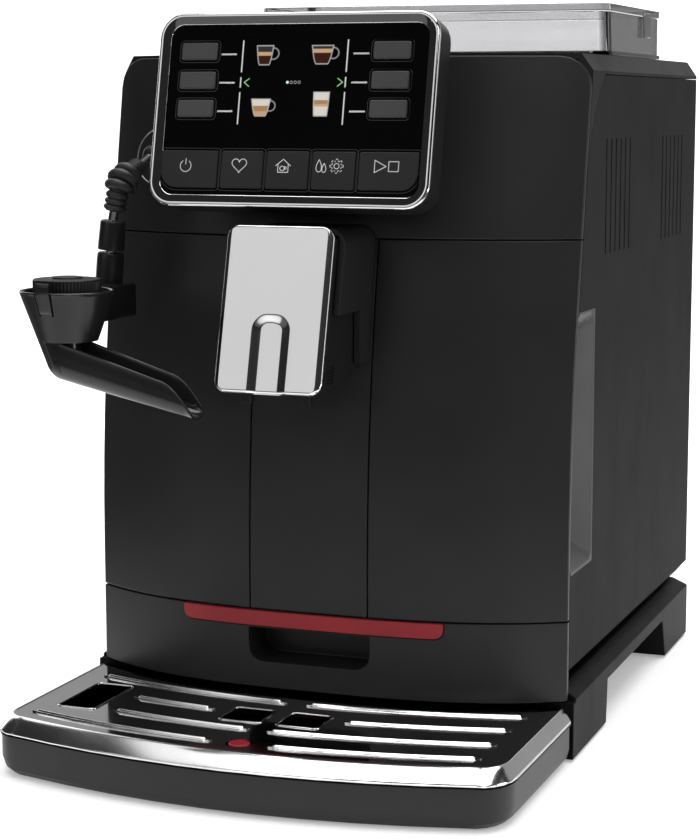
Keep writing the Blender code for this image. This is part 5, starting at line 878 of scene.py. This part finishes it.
def display_colours(x, up):
    """The whole picture: marker lines, arrows, page dots and four drinks."""
    x, up = 1000 * x, 1000 * up
    picture = np.zeros((len(x), 4))
    for side in (-28.9, 26.3):
        for high, low in ((82.6, 67.2), (64.2, 59.6), (56.8, 41.3)):
            marker = stroke(x, up, ((side, low), (side, high)), 0.72)
            picture = lay(picture, (0.42,) * 3, cover_of(marker, 0.35))
    for tip, open_x in ((-27.0, -24.4), (24.9, 22.2)):
        arrow = stroke(x, up, ((open_x, 63.8), (tip, 61.9), (open_x, 59.9)))
        picture = lay(picture, (0.25, 0.62, 0.22), cover_of(arrow, 0.35))
    for number in range(4):
        dot = np.hypot(x + 4.0 - 2.05 * number, up - 61.9) - 0.75
        dot = dot if number == 0 else np.abs(dot + 0.1) - 0.17
        picture = lay(picture, (0.45, 0.62, 0.45) if number == 0 else (0.25,) * 3, cover_of(dot, 0.3))
    for drink in DRINKS:
        picture = over(picture, glass_of(x, up, *drink) * (0.62, 0.62, 0.64, 1.0))
    return picture


def make_display():
    """A plain window plate on a fine grid, with the picture stored at its points."""
    x, up = plate_grid((-0.0299, 0.0396), (0.0284, 0.0844), (0.0008,) * 4, 0.00024, (0, 0.0001), 0.020)
    make_plate("display_window", PANEL, x, up, np.full(x.shape, -0.0021), -0.0050, SCREEN, "housing",
               colours=display_colours)


make_display()

# %% [markdown]
# ## Ribs and lips on the grille
# The grille is pressed from one polished sheet: cups stand on four rows of raised ribs, and each
# opening has a rolled lip. Raised boxes would look sharp, so a rib is a spine that follows the
# tray's bow, with a steep front, a long fall behind it and round ends. The pressing's ribs and
# lips sit on the flat deck that comes from the CAD model.

# %% Grille
AHEAD = np.array([0.0, SHIFT, 0.0])
X_AXIS, Y_AXIS, Z_AXIS = np.eye(3)
DECK = (AHEAD + 0.0292 * Z_AXIS, X_AXIS, Y_AXIS, Z_AXIS)
TRAY_HALF, TRAY_BOW = 0.1340, 0.0212
RIB_ROWS = (
    (-0.1115, (-0.1150, -0.0065), (0.0070, 0.1160)), (-0.1355, (-0.0813, -0.0366), (0.0365, 0.1150)),
    (-0.1605, (-0.0806, -0.0060), (0.0064, 0.1154)), (-0.1840, (-0.1180, -0.0156), (0.0166, 0.1150)),
)
RIB_STEPS = ((0, 0), (0.03, 0.04), (0.3, 0.31), (0.6, 0.61), (0.85, 0.86), (0.93, 0.93), (0.98, 0.96))
WINDOWS = (((-0.1125, -0.1550), (-0.0925, -0.1105)), ((0.0045, -0.1490), (0.0260, -0.1270)),
           ((-0.0260, -0.1490), (-0.0045, -0.1270)))


def bow(x):
    """How far the tray's front edge falls back at X: it grows with the square of X."""
    return TRAY_BOW * (x / TRAY_HALF) ** 2


def bar_ring(row, low, high, width):
    """A stadium round a bowed spine: both sides at a width, and a half circle at each end."""
    x = np.linspace(low, high, 30)
    slope = 2 * TRAY_BOW * x / TRAY_HALF**2
    across = np.stack([-slope, np.ones_like(x)], axis=1) / np.sqrt(1 + slope**2)[:, None]
    spine = np.stack([x, row + bow(x)], axis=1)
    turn = np.linspace(-math.pi / 2, math.pi / 2, 11)[1:-1, None]
    ends = []
    for end, sign in ((-1, 1), (0, -1)):
        tangent = sign * across[end][::-1] * [1, -1]
        ends.append(spine[end] + width * (np.cos(turn) * tangent + sign * np.sin(turn) * across[end]))
    return np.concatenate([spine - width * across, ends[0], (spine + width * across)[::-1], ends[1]])


def make_ribs():
    """At step t the width is half (1 - 0.98 t) and the spine lies 0.23 half t further out."""
    half, crown, parts = 0.0024, 0.0016, []
    for row, *spans in RIB_ROWS:
        for low, high in spans:
            low, high = low + half, high - half
            rings = [at_level(bar_ring(row, low, high, half), -0.0006)]
            rings += [at_level(bar_ring(row - 0.23 * half * t, low, high, half * (1 - 0.98 * t)), crown * rise)
                      for t, rise in RIB_STEPS]
            parts.append(skin(on_plane(DECK, np.array(rings))))
    make_piece("grille_ribs", joined(parts), RIB_STEEL, "tray", angle=75)


def make_lips():
    """Rolled lips round the three openings: a swept half round."""
    profile = [(0.0, -0.0024)] + quarter((-0.0005, 0.0), 0.0006, 0, 180, 9) + [(-0.0009, -0.0010)]
    parts = [skin(swept_ring(DECK, rounded_line(low, high, (0.0025,) * 4, arc=10), profile), close_rows=True)
             for low, high in WINDOWS]
    make_piece("grille_lips", joined(parts), STEEL, "tray", angle=60)


RIB_STEEL = make_polished("rib_steel", 0.80, 0.20, 0.06, 0.04)
make_ribs()
make_lips()

# %% [markdown]
# ## The finger scoop beside the service door
# The side panel dips in beside the door, so that fingers reach behind its edge. In the photograph
# the dip's rear wall slopes and catches the light. The CAD recess has upright walls, so a thin
# scoop lines it: a depth that grows in a soft ramp from its rounded outline.

# %% Finger scoop
SIDE_PLANE = (AHEAD + HALF_WIDTH * X_AXIS, Y_AXIS, Z_AXIS, X_AXIS)


def make_scoop():
    """Depth = 11.2 mm times a soft ramp of the distance to a rounded outline, less a 1.5 mm margin."""
    low_z, high_z, rear_y, margin, corner = 0.0955, 0.2275, -0.0225, 0.0015, 0.0090
    z = edge_spaced(low_z, high_z, 0.0014, np.linspace(0, 0.016, 20))[:, None]
    share = np.concatenate([[0], np.linspace(0.004, 1, 48)])
    front = front_y(HALF_WIDTH, z) - SHIFT + 0.0038
    y = front + (rear_y - front) * share
    z = np.repeat(z, len(share), axis=1)
    behind, ends = rear_y - y, np.minimum(z - low_z, high_z - z)
    near = corner - np.hypot(np.maximum(corner - behind, 0), np.maximum(corner - ends, 0))
    depth = np.where((behind < corner) & (ends < corner), near, np.minimum(behind, ends)) - margin
    level = 0.0001 - 0.0112 * soft_ramp(np.maximum(depth, 0), 0.0150)
    make_plate("finger_scoop", SIDE_PLANE, y, z, level, -0.0122, SCOOP_PAINTED_LIGHT, "housing")


# Painted light: the scoop is the side panel's plastic, painted about three times lighter to stand for the light
# on its sloping wall.
SCOOP_PAINTED_LIGHT = make_finish("scoop_painted_light", (0.062, 0.062, 0.063), 0.45, 2400, 0.00004, dust=0.0, specular=0.2)
make_scoop()

# %% [markdown]
# ## The grille's polished rim
# The rim is one soft slope from the tray's edge up to the deck, with round corners, and its
# reflections run along it without a break. The CAD rim is made of flat facets, which would show
# in a mirror, so a finely stepped skin lies on it: the tray's outline is drawn at many insets.
# A thin near-black band under it is painted shade, standing for the shadowed seam between the grille and the
# tray.

# %% Rim
TRAY_FRONT, TRAY_REAR, TRAY_CORNER = -0.2053, -0.0742, 0.0150


def tray_edge(inset, side_inset, corner):
    """The tray in plan from its rear left end, round the bowed front, to its rear right end."""
    half, middle_y = TRAY_HALF - side_inset, TRAY_FRONT + inset
    turn_x = half - corner
    front = np.linspace(-turn_x, turn_x, 90)
    front = np.stack([front, middle_y + bow(front)], axis=1)
    low_y, corner_y = middle_y + bow(turn_x), middle_y + bow(half) + corner
    turn = np.linspace(0, math.pi / 2, 19)[1:]
    right = np.stack([turn_x + corner * np.sin(turn), low_y + (corner_y - low_y) * (1 - np.cos(turn))], axis=1)
    rear = np.stack([np.full(12, half), np.linspace(corner_y, TRAY_REAR, 13)[1:]], axis=1)
    right = np.concatenate([right, rear])
    return np.concatenate([(right * [-1, 1])[::-1], front, right])


def band_of(rings):
    """Rings at rising levels, turned so that each new ring is one cut across the band."""
    return skin((np.array(rings) + AHEAD).transpose(1, 0, 2))


def make_rim():
    """Height over the slope: 6.4 mm times 1 - (1 - t)^1.3, where t runs from edge to deck."""
    share = np.concatenate([[0.03, 0.05, 0.08], np.linspace(0.12, 1.0, 16), [1.06, 1.12]])
    plans = [tray_edge(0.0095 * t, 0.0048 * t, TRAY_CORNER - 0.0048 * min(t, 1)) for t in share]
    rings = [at_level(plan, 0.02305 + 0.0064 * (1 - max(1 - t, 0) ** 1.3)) for t, plan in zip(share, plans)]
    rings += [at_level(plan, 0.0216 + 0.0064 * min(t, 1)) for t, plan in zip(share[::-1], plans[::-1])]
    make_piece("grille_rim", band_of(rings), RIM_STEEL, "tray", angle=60)
    # Painted shade: a near-black band just outside the tray's edge, where the seam's shade falls.
    seam_shade_band = ((0.0004, 0.0212), (-0.00006, 0.0213), (-0.00006, 0.0222), (0.0004, 0.0223))
    rings = [at_level(tray_edge(inset, inset, TRAY_CORNER), z) for inset, z in seam_shade_band]
    make_piece("grille_seam_shade", band_of(rings), FACE, "tray", angle=60)


RIM_STEEL = make_polished("rim_steel", (0.76, 0.76, 0.77), 0.15, 0.04)
make_rim()

# %% [markdown]
# ## The milk frother
# A bent steam pipe ends in a rubber grip with swelling ribs, below it a sleeve, and a holder with
# a funnel that runs into a pouring trough. All of them are bodies of one profile along or around
# one line, so each is a tube or a turned shape whose radius is a formula.

# %% The pipe's line, tubes and turned shapes
FUNNEL = np.array([-0.1048, -0.1500, 0.0])
WAND_FOOT, WAND_AXIS = np.array([-0.1072, -0.1010, 0.2400]), np.array([0.09585, 0.0, 0.99540])
BALL_PLACE, BEND_CORNER = np.array([-0.09853, -0.06511, 0.30399]), np.array([-0.1000, -0.1010, 0.2920])
BEND_RADIUS, PIPE_RADIUS, CORE_RADIUS = 0.013, 0.0026, 0.0028


def unit(vector):
    return vector / np.linalg.norm(vector)


def around(count, start=0.0, end=2 * math.pi):
    """Evenly spaced angles of a turn, without the one that closes it."""
    return np.linspace(start, end, count, endpoint=False)


def wand_path(count=1400):
    """Even points from the ball joint, round a 13 mm bend, to the pipe's end."""
    knee = WAND_FOOT + 0.0330 * WAND_AXIS
    inward, down = (unit(end - BEND_CORNER) for end in (BALL_PLACE, knee))
    half = math.acos(float(inward @ down)) / 2
    centre = BEND_CORNER + unit(inward + down) * BEND_RADIUS / math.sin(half)
    start, end = (BEND_CORNER + way * BEND_RADIUS / math.tan(half) - centre for way in (inward, down))
    sweep = math.acos(float(start @ end) / BEND_RADIUS**2)
    share = np.linspace(0, 1, 60)[:, None]
    bend = centre + (start * np.sin((1 - share) * sweep) + end * np.sin(share * sweep)) / math.sin(sweep)
    route = np.concatenate([BALL_PLACE[None], bend, knee[None], (WAND_FOOT + 0.0050 * WAND_AXIS)[None]])
    length = np.concatenate([[0], np.cumsum(np.linalg.norm(np.diff(route, axis=0), axis=1))])
    even = np.linspace(0, length[-1], count)
    return np.stack([np.interp(even, length, route[:, axis]) for axis in range(3)], axis=1), even


def tube(path, radii):
    """Rings square to a path, each with its own radius."""
    ahead = np.gradient(path, axis=0)
    up = np.cross(ahead, X_AXIS)
    up /= np.linalg.norm(up, axis=1)[:, None]
    across = np.cross(up, ahead)
    across /= np.linalg.norm(across, axis=1)[:, None]
    turn = around(40)[None, :, None]
    reach = np.asarray(radii)[:, None, None]
    return path[:, None] + reach * (np.cos(turn) * across[:, None] + np.sin(turn) * up[:, None])


def turned(profile, foot, axis=Z_AXIS, sides=64, wave=None):
    """Rings round an axis from (radius, height) pairs; a wave may change the radius by angle."""
    axis = unit(axis)
    side = unit(np.cross(axis, Y_AXIS))
    turn = around(sides)
    out = np.cos(turn)[:, None] * side + np.sin(turn)[:, None] * np.cross(axis, side)
    return np.array([foot + height * axis
                     + (np.full(sides, radius) if wave is None else wave(radius, height, turn))[:, None] * out
                     for radius, height in profile])


# %% Grip, pipe and sleeve
GRIP_RIBS = ((0.0122, 0.0074, 0.0021), (0.0166, 0.0083, 0.0022), (0.0209, 0.0079, 0.0021),
             (0.0250, 0.0058, 0.0014), (0.0281, 0.0058, 0.0014), (0.0312, 0.0059, 0.0014))


def make_grip():
    """Radius = fine rings at the top, then the largest of six round ribs, above a slim core."""
    path, along = wand_path()
    start = along[-1] - 0.0648
    keep = (along >= start) & (along <= along[-1] - 0.0318)
    path, along = path[keep][::3], along[keep][::3] - start
    radius = 0.0046 + 0.0003 * np.cos(2 * math.pi * along / 0.0016) * (along < 0.0100)
    for place, peak, half in GRIP_RIBS:
        share = np.clip(np.abs(along - place) / half, 0, 1)
        radius = np.maximum(radius, 0.0044 + (peak - 0.0044) * np.sqrt(1 - share**2))
    core = [CORE_RADIUS] * 2
    rings = np.concatenate([tube(path[:2], core)[:1], tube(path, radius), tube(path[-2:], core)[-1:]])
    make_piece("bellows_grip", skin(rings + AHEAD), GRIP, "wand", ("wand_grip",), angle=70)


def make_pipe():
    """The bent pipe and a ball where it starts."""
    path, _ = wand_path(240)
    surface = skin(tube(path, [PIPE_RADIUS] * len(path)) + AHEAD)
    make_piece("steam_pipe", surface, CHROME, "wand", ("wand_pipe",), angle=60)
    ball = [(0.0055 * math.cos(a), 0.0055 * math.sin(a)) for a in np.linspace(-1.5, 1.5, 21)]
    make_piece("joint_ball", skin(turned(ball, path[0] + AHEAD, sides=40)), BLACK, "wand", angle=60)


def make_joint_ring():
    """A thin ring that lies on the barrel front round the pipe's joint plate."""
    x, z, step, wire = -0.0968, 0.3031, 0.002, 0.00045
    along = np.array([2 * step, float(front_y(x + step, z) - front_y(x - step, z)), 0])
    upward = np.array([0, float(front_y(x, z + step) - front_y(x, z - step)), 2 * step])
    out, along = unit(np.cross(along, upward)), unit(along)
    middle = np.array([x, float(front_y(x, z)), z]) + 0.0018 * out
    a, b = around(96)[:, None, None], around(8)[:, None]
    radial = np.cos(a) * along + np.sin(a) * np.cross(out, along)
    rings = middle + (0.0146 + wire * np.cos(b)) * radial + wire * np.sin(b) * out
    make_piece("joint_ring", skin(rings, close_rows=True), DULL, "housing", angle=60)


def make_sleeve():
    """Two satin tubes with rounded ends round the pipe."""
    upper = [(0.0030, 0.0166), (0.0062, 0.0166)] + quarter((0.0062, 0.0173), 0.0007, -90, 0, 6)[1:]
    upper += [(0.0068, 0.0210), (0.0066, 0.0260)] + quarter((0.0053, 0.0306), 0.0012, 0, 90, 7)
    lower = [(0.0004, -0.0030)] + quarter((0.0066, -0.0023), 0.0007, -90, 0, 6)
    lower += [(0.0070, 0.0030), (0.0070, 0.0080), (0.0070, 0.0120)]
    lower += quarter((0.0061, 0.0145), 0.0007, 0, 90, 6) + [(0.0030, 0.0152)]
    tubes = [skin(turned(part, WAND_FOOT + AHEAD, WAND_AXIS)) for part in (upper + [(0.0030, 0.0318)], lower)]
    make_piece("sleeve_tubes", joined(tubes), SLEEVE, "wand", ("frother_sleeve",))


# %% Trough
TROUGH_START, TROUGH_BEND, TROUGH_END = -0.1130, -0.0520, -0.0350


def trough_section(x, inset):
    """A U across X: two rims, and between them a half ellipse; the nose closes in an arc."""
    share = (x - TROUGH_START) / (TROUGH_END - TROUGH_START)
    closing = math.sqrt(1 - np.clip((-0.1075 - x) / 0.0078, 0, 1) ** 2)
    half = max((0.0100 - 0.0025 * share) * max(closing, 0.06) - inset, 0.0004)
    bottom = 0.1965 - 0.0180 * share + 0.0085 * (1 - closing) + inset
    rim = 0.2165 - 0.0190 * (x - TROUGH_START) / (TROUGH_BEND - TROUGH_START)
    if x > TROUGH_BEND:
        rim = 0.1975 - 0.0160 * min((x - TROUGH_BEND) / (TROUGH_END - TROUGH_BEND), 1) ** 1.6
    deep = min(max(half, 0.004), max(rim - bottom, 0.0003))
    turn = np.linspace(0, math.pi, 33)
    line = np.stack([FUNNEL[1] + half * np.cos(turn), bottom + deep * (1 - np.sin(turn))], axis=1)
    line = np.concatenate([[[line[0, 0], rim + 0.0016]], line, [[FUNNEL[1] - half, rim]]])
    return np.column_stack([np.full(len(line), x), line])


def trough_ring(x):
    """Outer U out and inner U back, joined by a half round lip at each rim."""
    outer, inner = trough_section(x, 0.0), trough_section(x, 0.0015)
    turn = np.linspace(0, math.pi, 7)[1:-1, None]
    lips = []
    for a, b in ((outer[-1], inner[-1]), (inner[0], outer[0])):
        middle, reach = (a + b) / 2, np.linalg.norm(a - b) / 2
        lips.append(middle + np.cos(turn) * (a - middle) + np.sin(turn) * [0, 0, reach])
    return np.concatenate([outer, lips[0], inner[::-1], lips[1]])


def make_trough():
    """Rings of the U from the closed nose below the funnel to the open end."""
    spans = ((-0.1152, -0.106, 14), (-0.104, -0.053, 22), (-0.052, TROUGH_END, 26))
    rings = np.array([trough_ring(x) for span in spans for x in np.linspace(*span)])
    make_piece("pouring_trough", skin(rings + AHEAD), TROUGH, "wand", angle=55)


# %% Funnel with its clip, and the cap
CLIP_TURN = math.radians(87)
CONE_FOOT, CONE_TALL, CONE_RADIUS, CONE_GROWS = 0.2050, 0.0340, 0.0112, 0.0122


def make_tongue():
    """The springy clip between the slots: a strip of the cone's surface that rises above the rim."""
    turn = CLIP_TURN + np.radians(np.linspace(-9.4, 9.4, 14))
    facing = np.stack([-np.cos(turn), -np.sin(turn)], axis=1)
    rings = []
    for z, out in [(0.2292, -0.0006), (0.2296, 0.0)] + [(z, 0.00035) for z in np.linspace(0.2302, 0.2436, 12)] \
            + [(0.2443, 0.0001), (0.2446, -0.0003)]:
        radius = CONE_RADIUS + CONE_GROWS * (min(z, 0.2400) - CONE_FOOT) / CONE_TALL + out
        flat = np.concatenate([radius * facing, (radius - 0.0014 - min(out, 0) * 2) * facing[::-1]])
        rings.append(at_level(flat + FUNNEL[:2], z))
    return skin(rings)


def slotted(radius, height, turn):
    """The funnel's radius: two slots beside the clip, and below the rim kept inside the trough."""
    across = np.degrees(np.angle(np.exp(1j * (turn - CLIP_TURN))))
    slot = (np.abs(np.abs(across) - 10.7) < 1.0) & (height > 0.2290)
    reach = np.where(slot & (radius > 0.0190), radius - 0.0014, radius)
    if height < 0.2149:
        for _ in range(4):
            open_end = np.clip((reach * np.cos(turn) - 0.0030) / 0.0047, 0, 1)
            reach = np.minimum(reach, (0.0098 + 0.0049 * open_end) / np.maximum(np.abs(np.sin(turn)), 0.001))
        reach = np.where(np.cos(turn) < 0, np.minimum(reach, 0.0060), reach)
    return reach


def make_funnel():
    """A cone with a rounded foot and rim, the clip, and an arm to the pipe with rounded edges."""
    profile = [(0.0002, 0.1968), (0.0040, 0.1970), (0.0070, 0.1980), (0.0090, 0.1998), (0.0102, 0.2020),
               (CONE_RADIUS, CONE_FOOT)]
    rise = np.concatenate([np.linspace(0.06, 0.26, 6), [0.2882, 0.2941], np.linspace(0.33, 1, 18)])
    profile += [(CONE_RADIUS + CONE_GROWS * t, CONE_FOOT + CONE_TALL * t) for t in rise]
    profile += quarter((0.0226, 0.2391), 0.0009, 0, 180, 9)
    profile += [(0.0104 + 0.0110 * t, 0.2070 + 0.0310 * t) for t in np.linspace(1, 0.35, 6)]
    arm = []
    for y, grow in ((-0.1490, 0.0), (-0.0925, 0.0), (-0.0916, -0.0003), (-0.0911, -0.0010), (-0.0910, -0.0016)):
        line, _ = rounded_line((-0.0085 - grow, 0.2220 - grow), (0.0085 + grow, 0.2395 + grow),
                               (0.0020 + grow,) * 4, arc=6)
        arm.append(np.column_stack([line[:, 0] + FUNNEL[0], np.full(len(line), y), line[:, 1]]))
    cone = skin(turned(profile + [(0.0002, 0.2178)], FUNNEL, sides=360, wave=slotted))
    points, groups = joined([cone, make_tongue(), skin(arm)])
    surface = points + AHEAD, groups
    make_piece("funnel_holder", surface, HOLDER, "wand", ("frother_holder",), angle=50)


def ridged(radius, height, turn):
    """The cap's radius falls by 0.45 mm between its 60 ridges."""
    depth = 0.00045 if radius > 0.0150 and height < 0.2450 else 0.0
    return radius - depth * (0.5 - 0.5 * np.cos(60 * turn))


def make_cap():
    """A knurled cap with rounded edges and a raised middle."""
    profile = [(0.0002, 0.2372), (0.0164, 0.2372), (0.0168, 0.2376), (0.0168, 0.2400), (0.0168, 0.2425)]
    profile += [(0.0168, 0.2442)] + quarter((0.0161, 0.2448), 0.0007, 0, 90, 5)
    profile += [(0.0150, 0.2455), (0.0082, 0.2456), (0.0079, 0.2458)]
    profile += quarter((0.0074, 0.2461), 0.0004, 0, 90, 5) + [(0.0002, 0.2465)]
    surface = skin(turned(profile, FUNNEL + AHEAD, sides=480, wave=ridged))
    make_piece("knurled_cap", surface, BLACK, "regulator", ("frother_cap",), angle=50)


HOLDER = make_finish("holder_satin", 0.0075, 0.24, 3000, 0.00001, specular=0.45)
TROUGH = make_finish("trough_gloss", 0.0130, 0.10, relief=0, spread=0.06, dust=0.0)
SLEEVE = make_finish("sleeve_satin", 0.0095, 0.30, 3000, 0.00001, specular=0.45)
GRIP = make_finish("grip_rubber", 0.0170, 0.46, 1600, dust=0.0)
for make in (make_pipe, make_joint_ring, make_grip, make_sleeve, make_trough, make_funnel, make_cap):
    make()

# %% [markdown]
# ## Floor, light and camera
# The machine stands on a seamless white sweep. The paper is lit by the lamps and shines a little
# by itself for camera, mirror and glass rays, and it keeps the object's contact shadow. Mirrors
# see the paper in front and at the sides darker: a painted dark reflection, as of the black cards
# of a studio, which are not in the scene. Wide soft lamps stand in for softboxes.

# %% The sweep
WHITE = (1.0, 1.0, 1.0, 1.0)


def make_sweep():
    """A floor that rises behind in a quarter circle: a profile along Y drawn out along X."""
    turn = np.linspace(0, math.pi / 2, 24)
    y = np.concatenate([[-3.5], 2.2 + 0.8 * np.sin(turn), [3.0]])
    z = np.concatenate([[0.0], 0.8 - 0.8 * np.cos(turn), [3.6]])
    x = np.linspace(-4.0, 4.0, 9)
    points = np.stack([np.tile(x, len(y)), np.repeat(y, len(x)), np.repeat(z, len(x))], axis=1)
    mesh = make_mesh("sweep", points, [grid_faces(len(y), len(x))])
    mesh.shade_smooth()
    return placed("sweep", mesh)


def make_paper():
    """White paper: diffuse plus a lift that grows towards the back, dimmed for mirrors nearby."""
    paper, tree, _ = new_material("white_paper")
    tree.nodes.clear()
    place = coordinates(tree)
    spot, path = axes(tree, place), add(tree, "ShaderNodeLightPath").outputs
    fibre = noise(tree, place, 60.0, detail=3.0)
    diffuse = add(tree, "ShaderNodeBsdfDiffuse", {"Color": mixed(tree, fibre, (0.86,) * 3, (0.90,) * 3)})
    mirrored = maths(tree, "MAXIMUM", path["Is Glossy Ray"], path["Is Transmission Ray"])
    seen = maths(tree, "MAXIMUM", path["Is Camera Ray"], mirrored)
    lift = maths(tree, "MULTIPLY", seen, ramped(tree, spot["Y"], 0.5, 1.5, 0.28, 0.85))
    glow = add(tree, "ShaderNodeEmission", {"Color": WHITE, "Strength": lift})
    both = add(tree, "ShaderNodeAddShader", {0: diffuse.outputs[0], 1: glow.outputs[0]})
    level = ramped(tree, spot["Y"], 0.3, 0.9, 0.12, 0.34)
    dim = add(tree, "ShaderNodeEmission", {"Color": WHITE, "Strength": level})
    aside = ramped(tree, maths(tree, "ABSOLUTE", spot["X"]), 0.30, 0.50)
    # Painted dark reflection: where this zone is 1, mirror rays see only the paper's dim glow.
    mirror_dim_zone = maths(tree, "MAXIMUM", ramped(tree, spot["Y"], -0.9, -0.25, 1.0, 0.0), aside)
    solid = ramped(tree, path["Is Transmission Ray"], 0.0, 1.0, 1.0, 0.0)
    mask = maths(tree, "MULTIPLY", mirror_dim_zone, maths(tree, "MULTIPLY", path["Is Glossy Ray"], solid))
    shade = add(tree, "ShaderNodeMixShader", {0: mask, 1: both.outputs[0], 2: dim.outputs[0]})
    add(tree, "ShaderNodeOutputMaterial", {"Surface": shade.outputs[0]})
    return paper


sweep = make_sweep()
sweep.data.materials.append(make_paper())
sweep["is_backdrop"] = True
print("sweep ready")

# %% World and lamps
SOFTBOXES = (  # name, place, target, size, power
    ("top_box", (0.11, 0.175, 1.7), (0.11, 0.174, 0.0), (1.58, 1.55), 30),
    ("top_left_box", (-0.88, 0.0, 1.7), (-0.88, -0.001, 0.0), (0.40, 1.1), 1.7),
    ("left_box", (-1.4, 0.9, 0.8), (0.0, 0.0, 0.2), (0.7, 1.6), 6),
    ("right_box", (1.7, 0.0, 0.7), (0.0, 0.0, 0.15), (0.8, 1.4), 4),
    ("front_box", (-0.95, -2.1, 1.15), (0.0, -0.1, 0.25), (1.7, 1.5), 6.2),
    ("high_box", (1.25, -2.0, 1.9), (0.06, -0.08, 0.32), (1.0, 0.9), 8.4),
    ("low_box", (1.05, -0.10, 0.12), (0.13, -0.04, 0.09), (0.5, 0.18), 2.2),
)


def make_world():
    """A dim room: dark in front of the machine, white wherever the backdrop would be seen."""
    world = bpy.data.worlds.new("studio")
    bpy.context.scene.world = world
    world.use_nodes = True
    tree = world.node_tree
    tree.nodes.clear()
    path, aim = add(tree, "ShaderNodeLightPath").outputs, axes(tree, coordinates(tree, "Generated"))
    level = ramped(tree, path["Is Glossy Ray"], 0.0, 1.0, 0.45, 0.02)
    room = add(tree, "ShaderNodeBackground", {"Color": WHITE, "Strength": level})
    white = add(tree, "ShaderNodeBackground", {"Color": WHITE, "Strength": 1.0})
    behind = ramped(tree, aim["Y"], 0.55, 0.70)
    wall = maths(tree, "MULTIPLY", behind, ramped(tree, aim["X"], -0.50, -0.25, 0.30, 1.0))
    seen = maths(tree, "MAXIMUM", path["Is Camera Ray"], path["Is Transmission Ray"])
    mask = maths(tree, "MAXIMUM", seen, maths(tree, "MULTIPLY", path["Is Glossy Ray"], wall))
    mix = add(tree, "ShaderNodeMixShader", {0: mask, 1: room.outputs[0], 2: white.outputs[0]})
    add(tree, "ShaderNodeOutputWorld", {"Surface": mix.outputs[0]})


def softbox(name, place, target, size, power):
    """A rectangular lamp at a place, turned to face a target."""
    data = bpy.data.lights.new(name, "AREA")
    data.shape = "RECTANGLE"
    data.size, data.size_y = size
    data.energy = power
    lamp = placed(name, data)
    lamp.location = place
    lamp.rotation_euler = (Vector(target) - Vector(place)).to_track_quat("-Z", "Y").to_euler()


make_world()
for box in SOFTBOXES:
    softbox(*box)
print("lamps:", len(bpy.data.lights))

# %% The camera
WIDTH, HEIGHT = 700.0, 839.0


def make_camera():
    """The photograph's view: place, three axes and lens were fitted to its straight lines."""
    data = bpy.data.cameras.new("camera")
    data.sensor_width = 36.0
    data.sensor_fit = "AUTO"
    data.lens = 2135.94 * 36.0 / HEIGHT
    data.shift_x = (WIDTH / 2 - 397.36) / HEIGHT
    data.shift_y = (429.24 - HEIGHT / 2) / HEIGHT
    data.clip_start, data.clip_end = 0.02, 20.0
    yaw, down, roll = (math.radians(angle) for angle in (19.6964, 8.6332, 0.0717))
    ahead = Vector((-math.sin(yaw) * math.cos(down), math.cos(yaw) * math.cos(down), -math.sin(down)))
    level = Vector((math.cos(yaw), math.sin(yaw), 0.0))
    above = level.cross(ahead)
    right = level * math.cos(roll) + above * math.sin(roll)
    up = above * math.cos(roll) - level * math.sin(roll)
    matrix = Matrix((right, up, -ahead)).transposed().to_4x4()
    matrix.translation = (0.40258, -1.08440 + SHIFT, 0.33021)
    camera = placed("camera", data)
    camera.matrix_world = matrix
    bpy.context.scene.camera = camera
    return camera


camera = make_camera()
bpy.context.scene.view_settings.view_transform = "Standard"
print("lens in mm:", round(camera.data.lens, 2))

# %% Measure and finish
low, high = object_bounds()
sizes = {"cad": [list(cad_low), list(cad_high)], "scene": [list(low), list(high)]}
print("scene box in mm:", [round(1000 * side, 1) for side in high - low])
